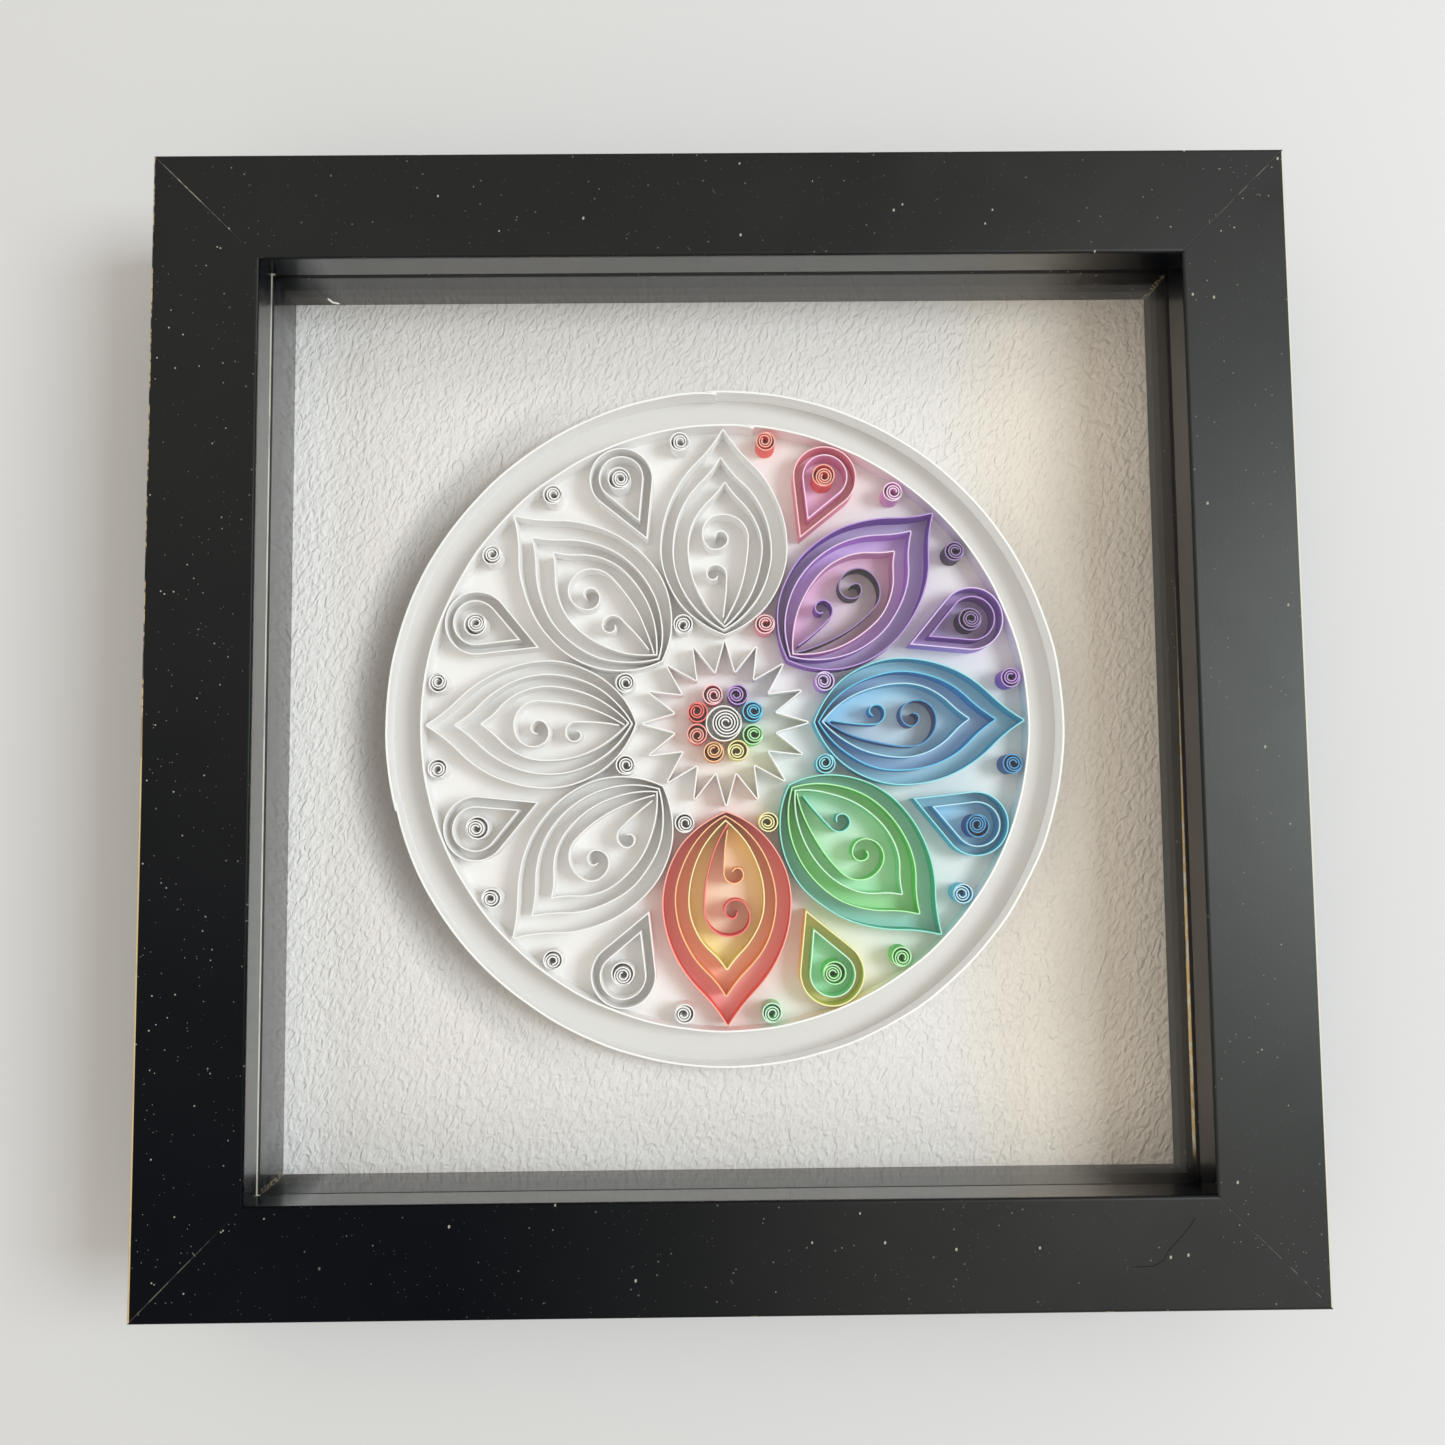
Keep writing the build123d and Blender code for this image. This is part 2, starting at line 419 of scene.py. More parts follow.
@dataclass(frozen=True)
class FilmedRail:
    """Satin black film over fibreboard, with dust, scuffs and arrises worn through, and painted
    highlights and painted sheen where the lamp falls.
    """

    grain: Grain
    half_side: float = 125.0
    half_sight: float = 101.5
    front: float = 45.0
    lip: float = 36.0
    worn_width: float = 0.42
    scratch_width: float = 0.2
    black: Colour = tone(12, 14, 19)
    deep: Colour = tone(7, 10, 15)
    dust: Colour = tone(176, 172, 160)
    # Pale colour of the painted highlights on the right arris and the left lip.
    painted_highlight: Colour = tone(204, 202, 188)
    bare_left: Colour = tone(222, 198, 150)
    fibreboard: Colour = tone(126, 98, 70)
    dark_fibre: Colour = tone(88, 68, 50)
    back_joint: Colour = tone(30, 23, 17)
    joint_line: Colour = (0.002, 0.002, 0.0025)
    cut: Colour = (0.004, 0.004, 0.005)
    scratch: tuple[tuple[float, float], ...] = (
        (83.4, -115.8),
        (87.6, -115.6),
        (89.8, -114.5),
        (90.7, -112.7),
        (93.2, -110.2),
        (95.5, -107.7),
        (96.6, -106.0),
    )

    def make(self) -> bpy.types.Material:
        """Build the material."""
        mix = Recipe(f"filmed_rail_{self.grain.value}")
        wear = RailWear(mix, self)
        body = mix.blend(mix.cloud(38.0, detail=3.0).step(0.3, 0.7), self.deep, self.black)
        body = mix.blend(wear.joint * 0.6, body, self.joint_line)
        # Pale mitre lines: partly scraped film, partly a painted highlight in the dust colour.
        body = mix.blend(wear.scraped_and_highlit(), body, self.dust)
        # Worn board along the outer arrises, with a painted highlight along the right arris.
        body = mix.blend(wear.worn_and_highlit(), body, mix.blend(wear.right, self.bare_left, self.painted_highlight))
        body = mix.blend(wear.rubbed() * 0.45, body, self.dust)
        # Painted highlight along the lower edge of the left lip.
        body = mix.blend(wear.lip_highlight(), body, self.painted_highlight)
        loose = wear.loose()
        body = mix.blend(loose * 0.8, body, self.dust)
        back = mix.z.step(0.25, 0.12)
        board = mix.blend(mix.cloud(0.45, detail=4.0), self.fibreboard, self.dark_fibre)
        board = mix.blend(wear.off_mitre.step(0.3, 0.1) * 0.85, board, self.back_joint)
        body = mix.blend(back, body, board)

        along = (0.06, 1.0, 1.0) if self.grain is Grain.ACROSS else (1.0, 0.06, 1.0)
        height = mix.cloud(0.5, detail=3.0, stretch=along) * 0.5 - wear.joint * 4.0
        smudge = mix.cloud(24.0, detail=4.0, distortion=0.6)
        film = {
            "Base_Color": body,
            "Roughness": 0.34 + 0.12 * smudge + 0.35 * back.larger(loose) - 0.16 * wear.wall,
            "Normal": mix.relief(height, 0.02, 0.6),
        }
        dull = mix.surface(**film, IOR=1.1)
        shiny = mix.surface(
            **film,
            IOR=1.45,
            Specular_Tint=(0.99, 1.0, 0.935),
            Coat_Weight=wear.wall,
            Coat_Roughness=0.14,
            Coat_IOR=1.7,
        )
        cut = mix.node("ShaderNodeBsdfDiffuse", inputs={"Color": self.cut})
        mark = mix.hairline(self.scratch, self.scratch_width) * wear.face * 0.7
        # Dull and shiny film mixed by place as painted sheen and painted shade.
        shader = mix.cover(wear.painted_sheen(smudge), dull, shiny)
        return mix.done(mix.cover(mark.smaller(1.0 - loose), shader, cut))


class RailWear:
    """Places on the rails, the wear that keeps to them, and the painted highlights and sheen. Every
    mask is 1 on its place.
    """

    def __init__(self, mix: Recipe, rail: FilmedRail) -> None:
        """Find the places.

        Args:
            mix: The finish they are for.
            rail: The rail's sizes.
        """
        self.mix, self.rail = mix, rail
        ax, ay = abs(mix.x), abs(mix.y)
        self.from_middle = ax.larger(ay)
        self.off_mitre = abs(ax - ay)
        self.upright = (ax - ay).step(-0.1, 0.1)
        self.left = mix.x.step(-100.0, -120.0)
        self.right = mix.x.step(100.0, 120.0)
        self.face = mix.z.step(rail.front - 1.2, rail.front - 0.5)
        self.joint = self.off_mitre.step(0.2, 0.06) * self.face
        wall = self.from_middle.step(rail.half_sight + 0.3, rail.half_sight + 0.05)
        self.wall = wall * mix.z.step(rail.front - 0.3, rail.front - 0.6)

    def scraped_and_highlit(self) -> Wire:
        """Pale line in the mitres, towards their outer ends: partly scraped film, partly a painted
        highlight where light catches the joint.

        Returns:
            Share of the pale colour.
        """
        outward = self.from_middle.step(103.0, 119.0) * self.from_middle.step(123.2, 122.2)
        broken = self.mix.cloud(2.6, detail=3.0).step(0.44, 0.58)
        top_left = self.left * self.mix.y.step(0.0, 100.0)
        pale = outward * (0.24 + 0.5 * top_left) * (0.3 * top_left + broken).smaller(1.0)
        return self.joint * (pale + 0.1 * self.left)

    def worn_and_highlit(self) -> Wire:
        """Bare board along the outer arrises: most on the right, then low on the left. The wide pale
        line on the right, which faces the lamp, is a painted highlight.

        Returns:
            Share of the board's colour, or of the painted highlight on the right.
        """
        low_left = self.left * self.mix.y.step(20.0, -20.0)
        width = self.rail.worn_width + self.right * 0.3 + low_left * 0.16 + self.left * 0.1
        arris = (self.from_middle - (self.rail.half_side - width)).step(0.0, 0.15)
        arris = arris * self.mix.z.step(self.rail.front - 0.55, self.rail.front - 0.2)
        patches = self.mix.cloud(9.0, detail=4.0)
        frayed = self.mix.cloud(1.1, detail=3.0).step(0.4, 0.55)
        bare = self.right * patches.step(0.22, 0.32)
        bare = bare + low_left * patches.step(0.24, 0.34) * 0.9
        bare = bare + self.left * patches.step(0.42, 0.5) * (0.15 + 0.75 * frayed)
        bare = bare * self.upright + patches.step(0.62, 0.68) * frayed * 0.6
        return arris * bare.smaller(1.0)

    def rubbed(self) -> Wire:
        """The front arris of the sight opening, rubbed at its upper left corner.

        Returns:
            Mask of the rubbed line.
        """
        sight, front = self.rail.half_sight, self.rail.front
        rim = self.from_middle.step(sight + 0.28, sight + 0.12)
        rim = rim * self.mix.z.step(front - 0.3, front - 0.15)
        corner = self.left.larger(self.mix.x.step(-100.0, -101.0)) * self.mix.y.step(76.0, 84.0)
        return rim * corner

    def lip_highlight(self) -> Wire:
        """Painted highlight: the pale line low on the left lip, which faces the lamp, stronger in some
        stretches.

        Returns:
            Share of the pale colour.
        """
        edge = self.mix.z.step(self.rail.lip + 1.1, self.rail.lip + 0.8) * self.wall
        streaky = self.mix.cloud(11.0, detail=2.0).step(0.3, 0.55)
        return edge * self.mix.x.step(-100.5, -101.2) * (0.45 + 0.55 * streaky)

    def loose(self) -> Wire:
        """Dust, lint and bright flecks on the face, crowded on the left and at the mitres.

        Returns:
            Mask of the specks.
        """
        mix = self.mix
        dust = mix.specks(4.6, 0.2, amount=0.5)
        fine = mix.specks(2.3, 0.11, turn=17.0, amount=0.5)
        hairs = mix.specks(4.4, 0.1, turn=-38.0, stretch=(1.0, 0.14, 1.0), amount=0.56)
        bent = mix.specks(5.2, 0.1, turn=55.0, stretch=(1.0, 0.17, 1.0), amount=0.57)
        bright = mix.specks(9.0, 0.27, turn=8.0, stretch=(1.0, 0.7, 1.0), amount=0.5)
        crowd = 0.3 + 0.7 * self.left.larger(self.off_mitre.step(14.0, 4.0))
        loose = (dust + (fine + hairs + bent) * 0.6).smaller(1.0) * crowd
        return loose.larger(bright * mix.x.step(-100.0, -60.0)) * self.face

    def painted_sheen(self, smudge: Wire) -> Wire:
        """How much the film shines, on the face and on the sight opening's walls: painted sheen that
        rises towards the right and the top, varied by finger marks, and painted shade where the walls
        are dulled.

        Args:
            smudge: Clouds of finger marks.

        Returns:
            0 where the film is dull, 1 where it shines.
        """
        mix = self.mix
        # Painted sheen: the face shines more towards the right and the top, where the lamp's
        # reflection falls.
        face = mix.x.step(-70.0, 90.0).larger(0.7 * mix.y.step(-130.0, 120.0))
        shine = (face * (0.84 + 0.3 * smudge)).larger(1.0 - self.face)
        return shine * (1.0 - 0.95 * self.wall * painted_wall_shade(mix, below=0.29, above=0.15, right=0.5))


@dataclass(frozen=True)
class LinerFilm:
    """Smooth black film on the liner strips, painted near-black and dull as painted shadow in the gap
    behind the lip.
    """

    front: float = 34.0
    corner: float = 102.5
    black: Colour = tone(34, 36, 39)
    deep: Colour = tone(22, 23, 26)
    # Near-black of the painted shadow in the gap behind the lip.
    painted_gap_shadow: Colour = (0.002, 0.002, 0.003)
    fleck: Colour = tone(214, 212, 204)
    chip: Colour = tone(170, 158, 128)
    gilt: Colour = tone(250, 214, 140)
    # Colour of the painted glint on the right liner's bare edge.
    painted_glint: Colour = tone(255, 248, 226)

    def bare_edge(self, mix: Recipe, level: Wire, right: Wire) -> Wire:
        """The edge of the right liner that has lost its film, wider towards the bottom.

        Args:
            mix: The finish it is for.
            level: Height in millimetres, with the right side's gap put level with the others.
            right: 1 on the right side.

        Returns:
            Share of the bare colour.
        """
        down = mix.y.step(30.0, -70.0)
        reach = (0.3 + 1.5 * down) - ((self.front - 2.4) - level)
        streaky = mix.cloud(11.0, detail=2.0).step(0.26, 0.5)
        ends = mix.y.step(45.0, 0.0) * mix.y.step(-99.0, -94.0)
        return reach.step(0.0, 0.15) * right * streaky * ends * (0.35 + 0.65 * down)

    def make(self) -> bpy.types.Material:
        """Build the material."""
        mix = Recipe("liner_film")
        clouds = mix.cloud(20.0, detail=3.0)
        right = mix.x.step(100.0, 101.2)
        level = mix.z + right * 0.9
        # The top band of the liners, in the gap behind the lip, is painted shadow.
        painted_gap_shadow = level.step(self.front - 2.6, self.front - 1.9)
        body = mix.blend(clouds, self.black, self.deep)
        body = mix.blend(painted_gap_shadow, body, self.painted_gap_shadow)
        specks = mix.specks(2.2, 0.22, amount=0.46, flat=False)
        body = mix.blend(specks * 0.5, body, self.fleck)
        seam = abs(mix.x).smaller(abs(mix.y)).step(self.corner - 0.9, self.corner - 0.4)
        diagonal = (mix.x * mix.y).step(0.0, 1000.0)
        chipped = seam * diagonal * mix.cloud(1.6, detail=4.0).step(0.46, 0.56) * (1.0 - painted_gap_shadow)
        body = mix.blend(chipped * 0.7, body, self.chip)
        # Painted glint: pale flecks of highlight over the bare edge's colour.
        painted_glint = mix.cloud(2.2, detail=3.0).step(0.44, 0.6)
        bare = mix.blend(painted_glint, self.gilt, self.painted_glint)
        body = mix.blend(self.bare_edge(mix, level, right) * (1.0 - painted_gap_shadow), body, bare)

        drawn = mix.cloud(0.6, detail=2.0, stretch=(1.0, 1.0, 0.1))
        film = {"Base_Color": body, "Normal": mix.relief(drawn, 0.006, 0.4)}
        shiny = mix.surface(
            **film,
            Roughness=0.15 + 0.1 * clouds + 0.5 * painted_gap_shadow,
            IOR=1.45,
            Coat_Weight=(1.0 - painted_gap_shadow) * (1.0 - seam * (1.0 - diagonal)),
            Coat_Roughness=0.12,
            Coat_IOR=1.55,
        )
        # Dull film mixed in on the right, below and in the corners as painted shade.
        share = 0.95 * painted_wall_shade(mix, below=0.36, above=0.3, right=0.83)
        return mix.done(mix.cover(share, shiny, mix.surface(**film, Roughness=0.4, IOR=1.1)))


@dataclass(frozen=True)
class ClearPane:
    """Thin clear pane: a faint mirror over what lies behind it, with a little dust."""

    front: float = 36.0
    dust: Colour = tone(226, 224, 218)
    silver: Colour = (1.0, 1.0, 1.0)
    clear: Colour = (0.99, 0.99, 0.99)
    lint: tuple[tuple[float, float], ...] = ((-88.9, 95.9), (-87.9, 95.1), (-86.5, 94.8))
    lint_width: float = 0.42

    def make(self) -> bpy.types.Material:
        """Build the material."""
        mix = Recipe("clear_pane")
        facing = mix.node("ShaderNodeLayerWeight", inputs={"Blend": 0.5}).output("Facing")
        mirror = 0.022 + 0.5 * facing**5.0
        dust = mix.specks(13.0, 0.12, amount=0.52)
        loose = (dust * 0.7 + mix.hairline(self.lint, self.lint_width)).smaller(1.0)
        loose = loose * mix.z.step(self.front - 0.5, self.front - 0.1)
        coating = mix.surface(
            Base_Color=mix.blend(loose, self.silver, self.dust),
            Metallic=1.0 - loose,
            Roughness=0.055,
        )
        clear = mix.node("ShaderNodeBsdfTransparent", inputs={"Color": self.clear})
        return mix.done(mix.cover(mirror.larger(loose * 0.9), clear, coating))


def shadow_side(mix: Recipe) -> Wire:
    """Where painted shadow lies beside the rings: 1 on the side turned from the window, and 0 on the
    window's side.
    """
    return mix.x.step(-22.0, -93.0)


@dataclass(frozen=True)
class EmbossedCard:
    """Heavy white card pressed with short wavy ridges. Its colour holds painted shade beside the outer
    ring, on the right and under the upper liner, painted warm shade and warm light towards the right,
    and painted light along the left edge.
    """

    white: Colour = tone(236, 235, 233)
    cream: Colour = tone(230, 227, 222)
    # Painted warm shade towards the right, painted warm light in the right wall's shadow, and painted
    # light along the left edge.
    tan: Colour = tone(234, 225, 212)
    painted_warm_light: Colour = tone(250, 240, 226)
    painted_left_light: Colour = tone(250, 250, 249)
    # Colour of the painted shade.
    shade: Colour = tone(58, 54, 50)
    speck: Colour = tone(150, 140, 128)
    ring: float = 78.4
    depth: float = 0.22

    def painted_shade(self, mix: Recipe, shaded: Wire) -> Wire:
        """Painted shade beside the outer ring, on the right between the ring and the wall, and along
        the upper liner.

        Args:
            mix: The finish it is for.
            shaded: 1 at the right edge, where the liner's own shade lies.

        Returns:
            Share of the shade's colour.
        """
        away = mix.away()
        # Painted shadow beside the outer ring on the side turned from the window, painted shade on the
        # right and under the upper liner.
        painted_ring_shadow = away.step(self.ring + 13.3, self.ring + 5.5) * shadow_side(mix)
        near = away.step(self.ring + 11.0, self.ring + 2.0)
        facing = mix.x.step(45.0, 78.0) * abs(mix.y + 10.0).step(80.0, 50.0)
        top = mix.y.step(74.0, 88.0) * (1.0 - shaded)
        return (painted_ring_shadow * 0.64).larger(facing * (0.12 + 0.12 * near)).larger(top * 0.08)

    def make(self) -> bpy.types.Material:
        """Build the material."""
        mix = Recipe("embossed_card")
        long = mix.cloud(1.6, detail=1.5, turn=21.0, stretch=(1.0, 0.46, 1.0), distortion=0.7)
        ridges = (1.0 - abs(long - 0.5) * 7.0).larger(0.0)
        lumps = mix.cloud(1.15, detail=1.0, turn=24.0, stretch=(1.0, 0.55, 1.0), distortion=0.5)
        shaded = mix.x.step(78.0, 94.0)
        pressed = (lumps.step(0.32, 0.68) * 0.95).toward(lumps * 3.2, shaded)
        height = ridges * (0.34 - 0.2 * shaded) + pressed
        colour = mix.blend(mix.cloud(42.0, detail=3.0), self.white, self.cream)
        # Painted warm shade, then painted warm light in the wall's shadow, and painted light on the
        # left.
        colour = mix.blend(mix.x.step(48.0, 72.0), colour, self.tan)
        colour = mix.blend(shaded, colour, self.painted_warm_light)
        colour = mix.blend(mix.x.step(-86.0, -100.0), colour, self.painted_left_light)
        colour = mix.blend(self.painted_shade(mix, shaded), colour, self.shade)
        colour = mix.blend(mix.specks(14.0, 0.14, amount=0.52) * 0.5, colour, self.speck)
        normal = mix.relief(height * (1.0 + 0.3 * shaded), self.depth)
        return mix.done(mix.surface(Base_Color=colour, Roughness=0.83, Normal=normal))


@dataclass(frozen=True)
class PaintedBounce:
    """Painted bounce light: the colour that dyed strips throw on the white paper inside their loops.

    The loop stands once in every eighth of the disc; only some of them are dyed.
    """

    loop: Union[PetalLoop, DropLoop]
    first: float
    tints: dict[float, Tint]


@dataclass(frozen=True)
class SmoothPaper:
    """Smooth white paper of the medallion's disc, with glue marks, painted bounce light in the strips'
    colours, and painted shadow beside the inner ring.
    """

    painted_bounces: tuple[PaintedBounce, ...]
    inner_ring: float = 70.2
    white: Colour = tone(239, 238, 236)
    rim: Colour = tone(215, 214, 211)
    glue: Colour = tone(150, 142, 134)
    # Colour of the painted shadow beside the inner ring.
    shade: Colour = tone(56, 54, 52)
    open_share: float = 0.34
    narrow_share: float = 0.62
    open_depth: float = 5.5
    softness: float = 0.5

    def painted_bounce_light(self, mix: Recipe, colour: Wire) -> Wire:
        """Lay painted bounce light, the colours that the strips throw, over the white.

        Args:
            mix: The finish they are for.
            colour: The paper's own colour.

        Returns:
            The tinted colour.
        """
        eighth = math.radians(EIGHTH)
        bearing = mix.x.maths("ARCTAN2", mix.y, mix.x)
        away = mix.away()
        for bounce in self.painted_bounces:
            turn = bearing - math.radians(bounce.first)
            turn = turn - turn.maths("ROUND", turn * (1 / eighth)) * eighth
            along, across = away * turn.maths("COSINE", turn), away * turn.maths("SINE", turn)
            outside = bounce.loop.outside(along, abs(across))
            inside = outside.step(self.softness, -self.softness)
            near = outside.step(-self.open_depth, -self.softness)
            for angle, tint in bounce.tints.items():
                off = abs(bearing - math.radians(angle))
                here = off.step(eighth / 2 + 0.01, eighth / 2 - 0.01)
                painted_bounce = [self.bounce_tint(tint, s) for s in (self.open_share, self.narrow_share)]
                colour = mix.blend(inside * here, colour, mix.blend(near, *painted_bounce))
        return colour

    def bounce_tint(self, tint: Tint, share: float) -> Colour:
        """White paper with a share of a strip's colour in it, as painted bounce light."""
        wall = tone(*tint.value[0])
        return tuple(w + (part - w) * share for w, part in zip(self.white, wall))

    def make(self) -> bpy.types.Material:
        """Build the material."""
        mix = Recipe("smooth_paper")
        soft = mix.cloud(18.0, detail=3.0)
        away = mix.away()
        rim = away.step(self.inner_ring, self.inner_ring + 0.4)
        colour = mix.blend(rim.larger(0.4 * soft), self.white, self.rim)
        colour = self.painted_bounce_light(mix, colour)
        # Painted shadow beside the inner ring, on the side turned from the window.
        painted_ring_shadow = rim * away.step(self.inner_ring + 7.5, self.inner_ring + 2.0)
        colour = mix.blend(painted_ring_shadow * shadow_side(mix) * 0.23, colour, self.shade)
        specks = mix.specks(7.0, 0.12, amount=0.5)
        threads = mix.specks(9.0, 0.07, turn=40.0, stretch=(1.0, 0.12, 1.0), amount=0.54)
        colour = mix.blend((specks + threads * 0.6) * 0.7, colour, self.glue)
        return mix.done(mix.surface(Base_Color=colour, Roughness=0.67))


class Tint(Enum):
    """Papers of the strips: colour of the wall, and of the paler cut edge."""

    WHITE = ((246, 245, 243), (252, 252, 250))
    CORAL = ((242, 96, 86), (255, 182, 166))
    RED = ((226, 40, 58), (252, 126, 120))
    ORANGE = ((250, 144, 78), (255, 204, 150))
    YELLOW = ((250, 232, 110), (255, 248, 184))
    GREEN = ((108, 220, 112), (190, 250, 186))
    MINT = ((156, 236, 184), (216, 252, 226))
    TEAL = ((54, 198, 182), (158, 240, 226))
    TURQUOISE = ((52, 190, 216), (150, 232, 242))
    SKY = ((92, 202, 236), (188, 236, 250))
    BLUE = ((10, 152, 208), (104, 206, 240))
    NAVY = ((8, 84, 150), (76, 158, 212))
    LILAC = ((188, 138, 226), (228, 206, 246))
    PURPLE = ((132, 74, 182), (192, 156, 224))
    AUBERGINE = ((46, 28, 70), (158, 130, 186))
    ROSE = ((246, 150, 170), (255, 210, 214))
    ORCHID = ((232, 166, 218), (248, 218, 242))


@dataclass(frozen=True)
class StripPaper:
    """Dyed quilling paper, with an edge paler than its wall."""

    tint: Tint
    top: float

    def make(self) -> bpy.types.Material:
        """Build the material."""
        wall, edge = (tone(*shade) for shade in self.tint.value)
        mix = Recipe(f"paper_{self.tint.name.lower()}")
        paler = tuple(min(1.0, part * 1.12 + 0.01) for part in wall)
        colour = mix.blend(mix.cloud(6.0, detail=1.0), wall, paler)
        cut = mix.z.step(self.top - 0.12, self.top - 0.05)
        return mix.done(mix.surface(Base_Color=mix.blend(cut, colour, edge), Roughness=0.66))


@dataclass(frozen=True)
class Hardboard:
    """Brown pressed board of the backing."""

    light: Colour = tone(132, 98, 66)
    dark: Colour = tone(92, 66, 44)
    blotch: Colour = tone(112, 84, 58)
    fleck: Colour = tone(170, 140, 100)

    def make(self) -> bpy.types.Material:
        """Build the material."""
        mix = Recipe("hardboard")
        fibres = mix.cloud(0.9, detail=6.0, distortion=1.4)
        blotches = mix.cloud(30.0, detail=3.0)
        colour = mix.blend(fibres.step(0.3, 0.75), self.dark, self.light)
        colour = mix.blend(blotches * 0.35, colour, self.blotch)
        screen = mix.cloud(1.1, detail=1.0, stretch=(1.0, 0.5, 1.0))
        flecks = mix.specks(4.5, 0.3, turn=25.0, stretch=(1.0, 0.3, 1.0), amount=0.5)
        colour = mix.blend(flecks * 0.7, colour, self.fleck)
        shader = mix.surface(
            Base_Color=colour,
            Roughness=0.6 + 0.2 * fibres,
            Normal=mix.relief(fibres + screen * 0.6, 0.06, 0.7),
        )
        return mix.done(shader)


@dataclass(frozen=True)
class PlatedSteel:
    """Zinc plated steel, rolled and a little stained."""

    bright: Colour = tone(188, 190, 194)
    dull: Colour = tone(142, 142, 140)

    def make(self) -> bpy.types.Material:
        """Build the material."""
        mix = Recipe("plated_steel")
        rolled = mix.cloud(0.3, detail=3.0, stretch=(0.08, 1.0, 1.0))
        stains = mix.cloud(5.0, detail=4.0)
        shader = mix.surface(
            Base_Color=mix.blend(stains.step(0.35, 0.7), self.bright, self.dull),
            Metallic=0.95,
            Roughness=0.28 + 0.2 * stains,
            Normal=mix.relief(rolled, 0.01, 0.6),
        )
        return mix.done(shader)


@dataclass(frozen=True)
class FloorPaint:
    """Plain pale floor."""

    pale: Colour = tone(214, 214, 214)
    cool: Colour = tone(208, 208, 209)

    def make(self) -> bpy.types.Material:
        """Build the material."""
        mix = Recipe("floor_paint")
        soft = mix.cloud(400.0, detail=2.0)
        colour = mix.blend(soft * 0.4, self.pale, self.cool)
        return mix.done(mix.surface(Base_Color=colour, Roughness=0.85))


@dataclass(frozen=True)
class Run:
    """A straight stretch of a strip."""

    length: float


@dataclass(frozen=True)
class Bend:
    """A round stretch of a strip; positive degrees turn left."""

    radius: float
    degrees: float


Move = Union[Run, Bend]


class StripLine:
    """The centre line of a strip seen from the front, drawn move by move."""

    def __init__(self, x: float, y: float, heading: float) -> None:
        """Set out from a point.

        Args:
            x: Start, in millimetres.
            y: Start, in millimetres.
            heading: Direction in degrees from +X.
        """
        self.start = (x, y, heading)
        self.moves: list[Move] = []
        self.x, self.y, self.heading = x, y, heading

    def run(self, length: float) -> StripLine:
        """Go straight on.

        Args:
            length: How far, in millimetres.

        Returns:
            The line itself.
        """
        self.moves.append(Run(length))
        self.x += length * math.cos(math.radians(self.heading))
        self.y += length * math.sin(math.radians(self.heading))
        return self

    def bend(self, radius: float, degrees: float) -> StripLine:
        """Go round a centre on the left or, for negative degrees, on the right.

        Args:
            radius: Radius in millimetres.
            degrees: How far round.

        Returns:
            The line itself.
        """
        self.moves.append(Bend(radius, degrees))
        side = math.copysign(1.0, degrees)
        angle = math.radians(self.heading)
        cx = self.x - side * radius * math.sin(angle)
        cy = self.y + side * radius * math.cos(angle)
        self.heading += degrees
        angle = math.radians(self.heading)
        self.x = cx + side * radius * math.sin(angle)
        self.y = cy - side * radius * math.cos(angle)
        return self

    def reach(self, x: float, y: float) -> StripLine:
        """Go round to a point in one arc that leaves in the present direction.

        Args:
            x: Where to, in millimetres.
            y: Where to, in millimetres.

        Returns:
            The line itself.
        """
        dx, dy = x - self.x, y - self.y
        off = math.degrees(math.atan2(dy, dx)) - self.heading
        off = (off + 180.0) % 360.0 - 180.0
        chord = math.hypot(dx, dy)
        if abs(off) < 0.05:
            return self.run(chord)
        return self.bend(chord / (2 * abs(math.sin(math.radians(off)))), 2 * off)


@dataclass(frozen=True)
class StripStock:
    """The paper that every strip is cut from: how high it stands, and how thick it is."""

    foot: float
    top: float
    thickness: float = 0.3
    arris: float = 0.05
    sagitta: float = 0.014
    weld: float = 0.04
    arris_angle: float = 60.0
    smooth_angle: float = 40.0

    @property
    def height(self) -> float:
        """Height of the strip in millimetres."""
        return self.top - self.foot


def nothing_selected() -> None:
    """Leave object mode and deselect everything."""
    if bpy.context.mode != "OBJECT":
        bpy.ops.object.mode_set(mode="OBJECT")
    bpy.ops.object.select_all(action="DESELECT")


